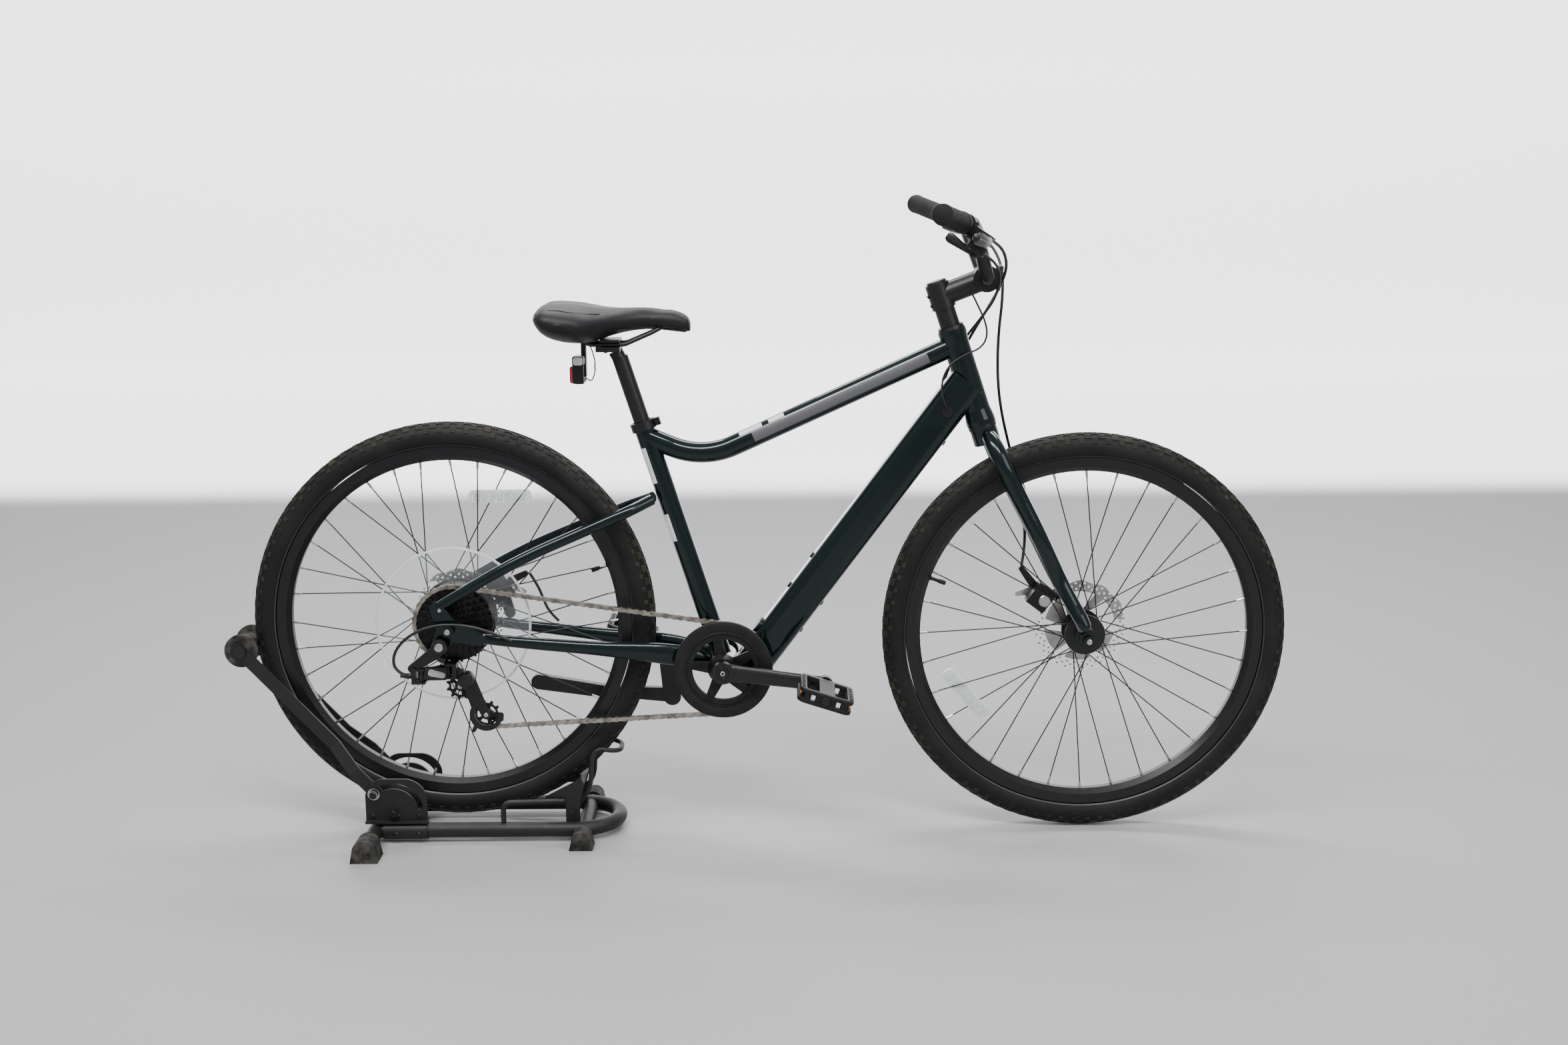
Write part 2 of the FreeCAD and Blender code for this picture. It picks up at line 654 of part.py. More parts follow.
def rear_triangle():
    plates = {}
    for side in SIDES:
        near = both_sides(s.dropout_y, s.dropout_thickness)[side]
        arms = [plate(f"dropout_arm_{side + 1}_{index}", outline, "dropout_thickness", near)
                for index, outline in enumerate(dropout_outline(side))]
        bore = crosswise(f"dropout_bore_{side + 1}", s.rear_axle_radius + s.fit_gap, 0,
                         s.rear_axle_height, near - 1, near + s.dropout_thickness + 1)
        tools = [bore]
        if side < 0:
            tools.append(crosswise("hanger_bore", 5.0 + s.fit_gap, -20, 333, near - 1,
                                   near + s.dropout_thickness + 1))
        plates[side] = cut(f"dropout_{side + 1}", fuse(f"dropout_plate_{side + 1}", *arms), *tools)
    solids = list(plates.values())
    for side in SIDES:
        rows = [(432, 20, 297, 8, 15), (378, 32, 311, 8.5, 18.5), (350, 36, 315.5, 9, 18),
                (253, 47, 327, 9, 12.5), (150, 56, 338.5, 9, 10.5), (70, 61.5, 348, 8.5, 9.2),
                (32, 64.5, 353.5, 6.5, 8.8)]
        stations = [(at(x, side * y, z), FORWARD, wide, high) for x, y, z, wide, high in rows]
        stay = tapered(f"chain_stay_blank_{side + 1}", stations)
        near = both_sides(s.dropout_y, s.dropout_thickness)[side]
        arms = [plate(f"stay_slot_{side + 1}_{index}", outline, "dropout_thickness", near)
                for index, outline in enumerate(dropout_outline(side))]
        solids.append(cut(f"chain_stay_{side + 1}", stay,
                          solid_shell(f"chain_stay_cope_{side + 1}"), arms[1]))
        route = [at(338, side * 14, 574), at(300, side * 38, 558), at(110, side * 56, 478),
                 at(-18, side * 66, 404)]
        stay = rod(f"seat_stay_blank_{side + 1}", route, s.seat_stay_radius)
        solids.append(cut(f"seat_stay_{side + 1}", stay,
                          solid_seat_tube(f"seat_stay_cope_{side + 1}"), arms[0]))
    node("rear_triangle", *solids)


kickstand_pivot = (362, 218)


def frame_fittings():
    """Seat clamp, bottle bosses, cable ports, charging cover and stand plate."""
    low = s.seat_tube_length - 13
    ring = cut("seat_clamp_ring",
               cylinder("seat_clamp_outer", s.seat_tube_radius + 4, 15, along_seat(low), seat_line),
               cylinder("seat_clamp_bore", s.seat_tube_radius + s.fit_gap, 17,
                        along_seat(low - 1), seat_line))
    lug_turn = Rotation(UP, seat_line)
    lug = box("seat_clamp_lug", 9, 14, 13,
              along_seat(low + 1) + lug_turn.multVec(Vector(s.seat_tube_radius + 3.5, -7, 0)),
              lug_turn)
    screw_foot = along_seat(low + 7.5) + lug_turn.multVec(Vector(s.seat_tube_radius + 8, -11, 0))
    screw = cylinder("seat_clamp_screw", 3, 22, screw_foot, ACROSS)
    pieces = [fuse("seat_clamp", ring, lug, screw)]
    skin = s.down_tube_depth / 2
    for number, along in enumerate((257.0, 193.5)):
        pieces.append(cylinder(f"bottle_bolt_{number}", 5, 3.2, on_down_tube(along, 0, skin),
                               down_normal))
    pieces.append(cylinder("charging_cover", 14, 5, on_down_tube(106, 0, skin), down_normal))
    for number, along in enumerate((200.0, 142.0, 540.0)):
        pieces.append(cylinder(f"cover_bolt_{number}", 4.5, 3.0, on_down_tube(along, 0, -skin),
                               down_normal * -1))
    flank = s.down_tube_width / 2
    for side in SIDES:
        start = at(828, side * flank, 720)
        pieces.append(cylinder(f"cable_port_{side + 1}", 9, 2.2, start, ACROSS * side))
    rows = [(432, 20, 297, 8, 15), (378, 32, 311, 8.5, 18.5), (350, 36, 315.5, 9, 18),
            (253, 47, 327, 9, 12.5), (150, 56, 338.5, 9, 10.5)]
    seat_tool = tapered("kickstand_seat", [(at(x, y, z), FORWARD, wide + 0.3, high + 0.3)
                                           for x, y, z, wide, high in rows])
    x, z = kickstand_pivot
    carrier = cut("kickstand_plate_cut",
                  plate("kickstand_plate", link_outline((352, 300), 13, (x, z), 15), 12, 40),
                  seat_tool)
    pin = crosswise("kickstand_pin", "kickstand_pin_radius", x, z, 45, 66)
    head = crosswise("kickstand_pin_head", 9, x, z, 64.6, 67.6)
    pieces.append(fuse("kickstand_carrier", carrier, pin, head))
    node("frame_fittings", *pieces)


main_tubes()
down_tube_and_battery()
rear_triangle()
frame_fittings()

# ---------------------------------------------------------------- drive

def pitch_radius(teeth):
    return s.chain_pitch / 2 / math.sin(math.pi / teeth)


def toothed(teeth, thickness, middle_y, centre, bore):
    """Toothed disc across Y with a round bore."""
    radius = pitch_radius(teeth)
    corners = []
    for tooth in range(int(teeth)):
        for share, height in ((-0.27, -3.9), (-0.1, 2.2), (0.1, 2.2), (0.27, -3.9)):
            turn = 2 * math.pi * (tooth + share) / teeth
            reach = radius + height
            corners.append(centre + Vector(reach * math.cos(turn), 0, reach * math.sin(turn)))
    shift = Vector(0, middle_y - thickness / 2, 0)
    corners = [corner + shift for corner in corners]
    face = Part.Face(Part.makePolygon(corners + corners[:1]))
    disc = face.extrude(Vector(0, thickness, 0))
    drill = Part.makeCylinder(bore, thickness + 2, centre + shift - ACROSS, ACROSS)
    return disc.cut(drill)


guide = (8.4, 259.8)
tension = (50.8, 210.0)
cog_plane = -s.cog_y
ring_plane = -s.ring_y


def cassette():
    centre = at(0, 0, s.rear_axle_height)
    teeth_counts = (32, 28, 24, 21, 18, 15, 13, 11)
    bore = s.rear_axle_radius + s.fit_gap
    core_end = s.cog_y + s.cog_spacing * 7 + 1.5
    whole = Part.makeCylinder(17.5, core_end - s.cog_y + 1.5,
                              centre - ACROSS * core_end, ACROSS)
    for number, teeth in enumerate(teeth_counts):
        middle = cog_plane - number * s.cog_spacing
        whole = whole.fuse(toothed(teeth, 1.9, middle, centre, bore))
    drill = Part.makeCylinder(bore, 60, centre - ACROSS * 75, ACROSS)
    node("cassette", feature("cassette_whole", whole.cut(drill)))


def chainring():
    ring = toothed(s.ring_teeth, 2.0, ring_plane, bracket, s.guard_window - 6)
    spider_y = ring_plane - 1.0 - s.seat_gap
    hub = turned("spider_hub", [(s.spindle_radius + s.fit_gap, -s.crank_inner_y + s.seat_gap),
                                (20.0, -s.crank_inner_y + s.seat_gap), (26.0, spider_y - 3.0),
                                (26.0, spider_y), (s.spindle_radius + s.fit_gap, spider_y)], bracket)
    arms = []
    bolts = []
    for number in range(5):
        turn = math.radians(s.crank_angle + 34 + 72 * number)
        end = (s.bracket_x + (s.guard_window + 1) * math.cos(turn),
               s.bracket_height + (s.guard_window + 1) * math.sin(turn))
        outline = link_outline((s.bracket_x, s.bracket_height), 12, end, 6.5)
        arms.append(plate(f"spider_arm_{number}", outline, 2.6, spider_y - 2.8))
        bolts.append(crosswise(f"ring_bolt_{number}", 4.0, end[0], end[1],
                               ring_plane + 2, ring_plane - 8.5))
    bore = crosswise("spider_bore", s.spindle_radius + s.fit_gap, s.bracket_x, s.bracket_height,
                     -70, -40)
    spider = cut("spider", fuse("spider_blank", hub, *arms), bore)
    whole = fuse("chainring_whole", feature("toothed_ring", ring), spider, *bolts)
    node("chainring", whole)

    near = spider_y - 2.8 - s.seat_gap - 2.4
    disc = crosswise("guard_disc", "guard_radius", s.bracket_x, s.bracket_height, near, near + 2.4)
    window = crosswise("guard_opening", s.guard_window - 6, s.bracket_x, s.bracket_height,
                       near - 1, near + 3.4)
    holes = []
    for number in range(5):
        turn = math.radians(s.crank_angle + 34 + 72 * number)
        holes.append(crosswise(f"guard_hole_{number}", 4.0 + s.fit_gap,
                               s.bracket_x + (s.guard_window + 1) * math.cos(turn),
                               s.bracket_height + (s.guard_window + 1) * math.sin(turn),
                               near - 1, near + 3.4))
    node("chain_guard", cut("chain_guard_whole", disc, window, *holes))


def crank_direction(side):
    turn = math.radians(s.crank_angle)
    return Vector(math.cos(turn), 0, math.sin(turn)) * -side


def pedal_point(side):
    tip = bracket + crank_direction(side) * s.crank_length
    return tip.x + s.centre_x, tip.z


def cranks():
    solids = []
    inner = s.crank_inner_y
    for side in SIDES:
        heading = crank_direction(side)
        stations = []
        for share, off, wide, high in ((0.0, 8.5, 7.0, 15.5), (0.25, 10.5, 6.8, 14.5),
                                       (0.65, 19.0, 6.2, 13.0), (1.0, 24.0, 6.0, 12.5)):
            centre = bracket + heading * (s.crank_length * share) + ACROSS * side * (inner + off)
            stations.append((centre, heading, wide, high))
        arm = tapered(f"crank_arm_{side + 1}", stations)
        x, z = pedal_point(side)
        root = crosswise(f"crank_boss_{side + 1}", 18.5, s.bracket_x, s.bracket_height,
                         side * inner, side * (inner + 17))
        tip = crosswise(f"crank_eye_{side + 1}", 14.0, x, z, side * (inner + 17),
                        side * (inner + 31))
        axle_rod = crosswise(f"pedal_axle_{side + 1}", "pedal_axle_radius", x, z,
                             side * (inner + 25), side * (inner + 136))
        solids += [arm, root, tip, axle_rod]
    spindle = crosswise("spindle", "spindle_radius", s.bracket_x, s.bracket_height,
                        -inner - 8, inner + 8)
    node("crank_arms", fuse("crankset", spindle, *solids))


def pedal(side, label):
    x, z = pedal_point(side)
    near = s.crank_inner_y + 38
    half = s.pedal_length / 2
    deep = s.pedal_height / 2
    outline = closed([(-half, -deep + 4), (-half + 8, -deep), (half - 8, -deep), (half, -deep + 4),
                      (half, deep - 4), (half - 8, deep), (-half + 8, deep), (-half, deep - 4)])
    block = plate(label + "_block", outline, "pedal_width", 0)
    bore = cylinder(label + "_bore", s.pedal_axle_radius + s.fit_gap, s.pedal_width + 2,
                    Vector(0, -1, 0), ACROSS)
    windows = []
    for number, (low, high) in enumerate(((-half + 9, -11), (11, half - 9))):
        windows.append(box(f"{label}_window_{number}", high - low, s.pedal_width - 18,
                           s.pedal_height + 2, Vector(low, 9, -deep - 1)))
    block.Placement = Placement()
    whole = cut(label + "_whole", block, bore, *windows)
    corner = at(x, -near - s.pedal_width if side < 0 else near, z)
    whole.Placement = Placement(corner, Rotation(ACROSS, s.pedal_tilt))
    node(label, whole)


def belt_tangent(first, second):
    """Tangent points of a run between two wheels (centre, radius, sense)."""
    (c1, r1, turn1), (c2, r2, turn2) = first, second
    run = (c2[0] - c1[0], c2[1] - c1[1])
    length = math.hypot(*run)
    heading = math.atan2(run[1], run[0]) - math.asin((turn2 * r2 - turn1 * r1) / length)
    left = (-math.sin(heading), math.cos(heading))
    start = (c1[0] - turn1 * r1 * left[0], c1[1] - turn1 * r1 * left[1])
    end = (c2[0] - turn2 * r2 * left[0], c2[1] - turn2 * r2 * left[1])
    return start, end, left


def chain():
    """Closed chain: side strips round the teeth, full width on the long runs."""
    wheels = [
        ((0, s.rear_axle_height), pitch_radius(32), -1, cog_plane),
        ((s.bracket_x, s.bracket_height), pitch_radius(s.ring_teeth), -1, ring_plane),
        (tension, pitch_radius(s.pulley_teeth), -1, cog_plane),
        (guide, pitch_radius(s.pulley_teeth), 1, cog_plane),
    ]
    half_height = 3.9
    strips = ((-3.8, -2.6), (2.6, 3.8))
    toothless = 37.0
    runs = []
    for number, wheel_data in enumerate(wheels):
        following = wheels[(number + 1) % 4]
        start, end, left = belt_tangent(wheel_data[:3], following[:3])
        runs.append((start, end, left, wheel_data[3], following[3]))

    def straight(run, low, high, from_share, to_share):
        start, end, left, y1, y2 = run
        a = at(start[0], y1, start[1])
        b = at(end[0], y2, end[1])
        first = a + (b - a) * from_share
        up = Vector(left[0], 0, left[1]) * half_height
        corners = [first - up + ACROSS * low, first + up + ACROSS * low,
                   first + up + ACROSS * high, first - up + ACROSS * high]
        face = Part.Face(Part.makePolygon(corners + corners[:1]))
        return face.extrude((b - a) * (to_share - from_share))

    solids = []
    for low, high in strips:
        for run in runs:
            solids.append(straight(run, low, high, 0.0, 1.0))
        for number, (centre, radius, sense, plane) in enumerate(wheels):
            arrive = runs[number - 1][1]
            leave = runs[number][0]
            first = math.atan2(arrive[1] - centre[1], arrive[0] - centre[0])
            last = math.atan2(leave[1] - centre[1], leave[0] - centre[0])
            sweep = (last - first) * sense % (2 * math.pi) * sense
            middle = first + sweep / 2

            def rim(distance, angle):
                return at(centre[0] + distance * math.cos(angle), plane + low,
                          centre[1] + distance * math.sin(angle))

            big, small = radius + half_height, radius - half_height
            edges = [Part.Arc(rim(big, first), rim(big, middle), rim(big, last)),
                     Part.LineSegment(rim(big, last), rim(small, last)),
                     Part.Arc(rim(small, last), rim(small, middle), rim(small, first)),
                     Part.LineSegment(rim(small, first), rim(big, first))]
            face = Part.Face(Part.Wire([edge.toShape() for edge in edges]))
            solids.append(face.extrude(ACROSS * (high - low)))
    for run in runs[:2]:
        length = (Vector(run[1][0], run[1][1], 0) - Vector(run[0][0], run[0][1], 0)).Length
        share = toothless / length
        solids.append(straight(run, strips[0][0], strips[1][1], share, 1 - share))
    whole = solids[0].multiFuse(solids[1:])
    node("chain", feature("chain_band", whole.removeSplitter()))


def pulley(label, centre):
    wheel_shape = toothed(s.pulley_teeth, 2.2, cog_plane, at(centre[0], 0, centre[1]),
                          2.5 + s.fit_gap)
    hub = Part.makeCylinder(6, 7.0, at(centre[0], cog_plane - 3.5, centre[1]), ACROSS)
    drill = Part.makeCylinder(2.5 + s.fit_gap, 9, at(centre[0], cog_plane - 4.5, centre[1]), ACROSS)
    node(label, feature(label + "_wheel", wheel_shape.fuse(hub).cut(drill)))


cassette()
chainring()
cranks()
pedal(-1, "right_pedal")
pedal(1, "left_pedal")
chain()
pulley("guide_pulley", guide)
pulley("tension_pulley", tension)

# ---------------------------------------------------------------- derailleur

hanger = (-20, 333)
cage_pivot = (22, 276)
link_length = 50.0
link_swing = math.radians(38)
knuckle_pivots = ((-46, -86), (-46, -72))
link_low = 284.0


def carrier_pivot(pivot):
    return (pivot[0] + link_length * math.cos(link_swing),
            pivot[1] + link_length * math.sin(link_swing))


def upright(name, radius, point, low, high):
    return cylinder(name, radius, high - low, at(point[0], point[1], low))


def derailleur():
    outer = s.dropout_y + s.dropout_thickness + s.seat_gap
    boss = crosswise("knuckle_boss", 11, hanger[0], hanger[1], -outer, -outer - 15)
    bolt = crosswise("knuckle_bolt", 5, hanger[0], hanger[1], -s.dropout_y - 0.5, -outer - 17)
    drop = plate("knuckle_drop", link_outline(hanger, 11, (-60, 306), 7), 15, -outer - 15)
    spine = box("knuckle_spine", 7, 30, 28, at(-61, -93, link_low - 4))
    ears = [box(f"knuckle_ear_{index}", 18, 30, 3.7, at(-56, -93, low))
            for index, low in enumerate((link_low - 4, link_low + 18.3))]
    pins = [upright(f"knuckle_pin_{index}", 2, point, link_low - 4, link_low + 22)
            for index, point in enumerate(knuckle_pivots)]
    stop = cylinder("housing_stop", 4.5, 8, at(-68, -86, 293), FORWARD)
    node("derailleur_knuckle", fuse("knuckle_whole", boss, bolt, drop, spine, *ears, *pins, stop))

    for label, pivot in zip(("derailleur_outer_link", "derailleur_inner_link"), knuckle_pivots):
        end = carrier_pivot(pivot)
        low = link_low + s.seat_gap
        high = link_low + 18
        eyes = [upright(f"{label}_eye_{index}", 4.4, point, low, high)
                for index, point in enumerate((pivot, end))]
        turn = Rotation(UP, math.degrees(link_swing))
        start = at(pivot[0], pivot[1], low) + turn.multVec(Vector(0, -1.8, 0))
        web = box(label + "_web", link_length, 3.6, high - low, start, turn)
        bores = [upright(f"{label}_bore_{index}", 2 + s.fit_gap, point, low - 1, high + 1)
                 for index, point in enumerate((pivot, end))]
        node(label, cut(label + "_whole", fuse(label + "_blank", web, *eyes), *bores))

    ends = [carrier_pivot(pivot) for pivot in knuckle_pivots]
    x_end = ends[0][0]
    y_low, y_high = ends[0][1] - 6.5, ends[1][1] + 5
    ears = [box(f"carrier_ear_{index}", 14.5, y_high - y_low, 3.7, at(x_end - 6, y_low, low))
            for index, low in enumerate((link_low - 4, link_low + 18.3))]
    pins = [upright(f"carrier_pin_{index}", 2, point, link_low - 4, link_low + 22)
            for index, point in enumerate(ends)]
    face = cog_plane - 8.3
    spine = box("carrier_spine", 7, y_high - y_low, 26, at(x_end + 8, y_low, link_low - 4))
    barrel = crosswise("carrier_barrel", 12, cage_pivot[0], cage_pivot[1], face, face - 20)
    pin = crosswise("cage_pin", 4, cage_pivot[0], cage_pivot[1], face + 3.4, face - 5)
    bridge = plate("carrier_bridge",
                   link_outline((x_end + 12.5, link_low + 8), 5.5, cage_pivot, 11), 12, face - 18)
    node("derailleur_carrier", fuse("carrier_whole", *ears, *pins, spine, barrel, pin, bridge))

    outer_y = cog_plane - 7.5
    inner_y = cog_plane + 5.5
    sides = [
        plate("cage_outer_upper", link_outline(cage_pivot, 12, tension, 11), 2, outer_y),
        plate("cage_outer_guide", link_outline(cage_pivot, 9, guide, 7), 2, outer_y),
        plate("cage_outer_foot", link_outline(tension, 11, (78, 200), 7), 2, outer_y),
    ]
    hole_tool = crosswise("cage_hole", 4 + s.fit_gap, cage_pivot[0], cage_pivot[1],
                          outer_y - 1, outer_y + 3)
    outer_plate = cut("cage_outer", fuse("cage_outer_blank", *sides), hole_tool)
    inner_plate = fuse(
        "cage_inner",
        plate("cage_inner_upper", link_outline(guide, 8, tension, 9), 2, inner_y),
        plate("cage_inner_foot", link_outline(tension, 9, (70, 203), 6), 2, inner_y))
    bolts = [crosswise(f"pulley_bolt_{index}", 2.5, point[0], point[1], outer_y - 1.5, inner_y + 3)
             for index, point in enumerate((guide, tension))]
    node("derailleur_cage", fuse("cage_whole", outer_plate, inner_plate, *bolts))


derailleur()

# ---------------------------------------------------------------- fork

def fork_leg(name, side, extra):
    rows = [(896.5, 8, 676, 12.0), (902, 32, 670, 13.8), (913, 49, 648, 14.6),
            (933, 55, 605, 14.5), (960, 57, 552, 14.0), (986, 58, 500, 13.4),
            (1036, 59, 400, 12.2), (1055, 59, 358, 11.5)]
    points = [at(x, side * y, z) for x, y, z, _ in rows]
    sections = []
    for index, row in enumerate(rows):
        before = points[max(index - 1, 0)]
        after = points[min(index + 1, len(points) - 1)]
        circle = Part.Circle(points[index], after - before, row[3] + extra)
        sections.append(Part.Wire([circle.toShape()]))
    return feature(name, Part.makeLoft(sections, True, False))


def fork():
    steerer = cylinder("steerer", "steerer_radius", 251, along_head(-8), steering)
    crown = cylinder("crown", s.head_radius + 0.5, 26, along_head(-7 - s.seat_gap - 26), steering)
    legs = []
    for side in SIDES:
        leg = fork_leg(f"fork_leg_{side + 1}", side, 0.0)
        tip = crosswise(f"fork_tip_{side + 1}", 14.5, s.wheelbase, s.tyre_outer,
                        side * front_tip, side * 68.3)
        legs += [leg, tip]
    whole = fuse("fork_blank", steerer, crown, *legs)
    axle_bore = crosswise("fork_axle_bore", s.front_axle_radius + s.fit_gap, s.wheelbase,
                          s.tyre_outer, -80, 80)
    node("fork", cut("fork_whole", whole, axle_bore))


bar_clamp = (892, 936)


def bar_points():
    x, z = bar_clamp
    right = [at(797, -s.bar_half_width, 1049), at(864.8, -110, 1021.5), at(x, -38, z)]
    left = [Vector(point.x, -point.y, point.z) for point in reversed(right)]
    return right + left


def stem_and_bar():
    clamp_low = 202.0
    clamp_high = 244.0
    extension_start = along_head(223)
    extension_end = at(bar_clamp[0], 0, bar_clamp[1])
    run = extension_end - extension_start
    body = fuse("stem_blank",
                cylinder("stem_column", 20, clamp_high - clamp_low, along_head(clamp_low), steering),
                cylinder("stem_extension", 18.5, run.Length - 14, extension_start, run),
                crosswise("stem_bar_clamp", 22, bar_clamp[0], bar_clamp[1], -22, 22))
    stem = cut("stem_body", body,
               cylinder("stem_steerer_bore", s.steerer_radius + s.fit_gap, 80,
                        along_head(clamp_low - 20), steering),
               crosswise("stem_bar_bore", s.bar_clamp_radius + s.fit_gap, bar_clamp[0],
                         bar_clamp[1], -30, 30))
    spacer_low = s.head_length + 6 + s.seat_gap
    bore = s.steerer_radius + s.fit_gap
    spacers = turned("spacers", [(bore, spacer_low), (16.8, spacer_low),
                                 (16.8, clamp_low - s.fit_gap), (bore, clamp_low - s.fit_gap)],
                     head_foot, steering)
    cap = turned("top_cap", [(0.0, clamp_high + s.seat_gap), (17.0, clamp_high + s.seat_gap),
                             (16.0, clamp_high + 4.5), (0.0, clamp_high + 4.5)],
                 head_foot, steering)
    node("stem", stem, spacers, cap)

    points = bar_points()
    tube = rod("bar_tube", points, s.bar_radius, 28)
    sleeve = crosswise("bar_sleeve", "bar_clamp_radius", bar_clamp[0], bar_clamp[1], -23.5, 23.5)
    node("handlebar", fuse("bar_whole", tube, sleeve))


def hand_frame(side):
    """Axes at a bar end: forward and down, along the bar inwards, and their normal."""
    end, elbow = bar_points()[:2]
    inwards = (elbow - end).normalize()
    reach = Vector(0.82, 0, -0.57)
    reach = (reach - inwards * reach.dot(inwards)).normalize()
    if side > 0:
        end = Vector(end.x, -end.y, end.z)
        inwards = Vector(inwards.x, -inwards.y, inwards.z)
        reach = Vector(reach.x, -reach.y, reach.z)
    return Placement(end, Rotation(reach, inwards, reach.cross(inwards), "XYZ"))


def local(frame, x, y, z):
    return frame.multVec(Vector(x, y, z))


def place(item, frame):
    """Carry a piece drawn at a bar end into the whole."""
    item.Placement = frame.multiply(item.Placement)
    return item


def local_plate(name, outline, thickness, low, frame):
    body, sketch = new_body(name, "XY_Plane")
    sketch.addGeometry(outline, False)
    pad = body.newObject("PartDesign::Pad", name + "_pad")
    pad.Profile = sketch
    pad.Length = thickness
    body.Placement = frame.multiply(Placement(Vector(0, 0, low), Rotation()))
    return body


lever_pivot = (44.0, 152.0)
shift_pivot = (29.0, 182.0)


def grips_and_controls():
    grips = []
    clamps = []
    for side in SIDES:
        frame = hand_frame(side)
        name = "left" if side > 0 else "right"
        cap = 3.0
        outer = cylinder(name + "_grip_outer", "grip_radius", s.grip_length + cap,
                         Vector(0, -cap, 0), ACROSS)
        inner = cylinder(name + "_grip_bore", s.bar_radius + s.fit_gap, s.grip_length + 1,
                         Vector(0, 0, 0), ACROSS)
        grips.append(place(cut(name + "_grip", outer, inner), frame))

        ring = cylinder(name + "_clamp_ring", 16.5, 15, Vector(0, 149, 0), ACROSS)
        arm = box(name + "_clamp_arm", 30, 17, 15, Vector(8, 149, -7.5))
        adjuster = cylinder(name + "_adjuster", 5, 24, Vector(29, 165, 0), ACROSS)
        ears = [box(f"{name}_ear_{index}", 15, 15, 3.5, Vector(36, 145, low))
                for index, low in enumerate((-8, 4.5))]
        pin = cylinder(name + "_lever_pin", 2.5, 17, Vector(lever_pivot[0], lever_pivot[1], -8.5))
        body = fuse(name + "_clamp_blank", ring, arm, adjuster, *ears)
        space = box(name + "_lever_space", 20, 30, 9, Vector(37.6, 142, -4.5))
        tube = cylinder(name + "_clamp_bore", s.bar_radius + s.fit_gap, 20,
                        Vector(0, 147, 0), ACROSS)
        whole = fuse(name + "_clamp_whole", cut(name + "_clamp_cut", body, space, tube), pin)
        clamps.append(place(whole, frame))

        eye = local_plate(name + "_lever_eye",
                          [Part.Circle(Vector(lever_pivot[0], lever_pivot[1], 0), UP, 5.8)],
                          8.4, -4.2, Placement())
        route = [Vector(44, 150, 0), Vector(56, 118, 0), Vector(60, 70, 0), Vector(55, 26, 0)]
        blade = rod(name + "_lever_blade", route, 4.1)
        bore = cylinder(name + "_lever_bore", 2.5 + s.fit_gap, 12,
                        Vector(lever_pivot[0], lever_pivot[1], -6))
        knob = doc.addObject("Part::Sphere", name + "_lever_knob")
        knob.Radius = 6
        knob.Placement = Placement(route[-1], Rotation())
        lever = cut(name + "_lever_whole", fuse(name + "_lever_blank", eye, blade, knob), bore)
        node(name + "_brake_lever", place(lever, frame))
    node("grips", *grips)

    frame = hand_frame(-1)
    ring = cylinder("shifter_ring", 15.5, 12, Vector(0, 176, 0), ACROSS)
    strut = box("shifter_strut", 24, 12, 10, Vector(6, 176, -16))
    pod = cylinder("shifter_pod", 16, 16, Vector(shift_pivot[0], shift_pivot[1], -29.5))
    pin = cylinder("shifter_pin", 3, 20, Vector(shift_pivot[0], shift_pivot[1], -37))
    exit_tube = cylinder("shifter_exit", 4, 12, Vector(shift_pivot[0], 190, -21), ACROSS)
    tube = cylinder("shifter_bore", s.bar_radius + s.fit_gap, 16, Vector(0, 174, 0), ACROSS)
    body = cut("shifter_cut", fuse("shifter_blank", ring, strut, pod, exit_tube), tube)
    clamps.append(place(fuse("shifter_whole", body, pin), frame))
    node("lever_clamps", *clamps)

    outline = link_outline(shift_pivot, 9, (-14, 184), 8)
    paddle = local_plate("paddle_plate", outline + [Part.Circle(
        Vector(shift_pivot[0], shift_pivot[1], 0), UP, 3 + s.fit_gap)], 5, -35, frame)
    node("shifter_paddle", paddle)


fork()
stem_and_bar()
grips_and_controls()

# ---------------------------------------------------------------- brakes

def caliper(end, centre, hub, rotor_y, y_range, stop, arm_pivot, arm_tip, mount):
    """Caliper round its rotor, with its cable stop, mount and swinging arm."""
    y_low, y_high = y_range
    heading = math.atan2(centre[1] - hub[1], centre[0] - hub[0])
    turn = Rotation(ACROSS, -math.degrees(heading))
    length, width = 36.0, 42.0
    corner = at(centre[0], y_low, centre[1]) + turn.multVec(Vector(-length / 2, 0, -width / 2))
    block = box(end + "_caliper_block", length, y_high - y_low, width, corner, turn)
    gap = s.rotor_thickness / 2 + 0.6
    reach = at(centre[0], rotor_y - gap, centre[1])
    slot = box(end + "_caliper_slot", length, 2 * gap, width + 10,
               reach + turn.multVec(Vector(-length / 2 - 8, 0, -width / 2 - 5)), turn)
    stop_arm = plate(end + "_cable_stop", link_outline(arm_pivot, 8, stop, 5), 6, y_high - 6)
    foot = plate(end + "_caliper_foot", link_outline(centre, 10, mount[:2], 9),
                 mount[3] - mount[2], mount[2])
    pin = crosswise(end + "_caliper_pin", 3, arm_pivot[0], arm_pivot[1], y_high - 5, y_high + 6)
    body = cut(end + "_caliper_cut", fuse(end + "_caliper_blank", block, stop_arm, foot), slot)
    whole = fuse(end + "_caliper_whole", body, pin)
    outline = link_outline(arm_pivot, 8, arm_tip, 4.5)
    outline.append(hole(arm_pivot[0], arm_pivot[1], 3 + s.fit_gap))
    node(end + "_caliper_arm", plate(end + "_arm_plate", outline, 4.5, y_high + s.seat_gap))
    return whole


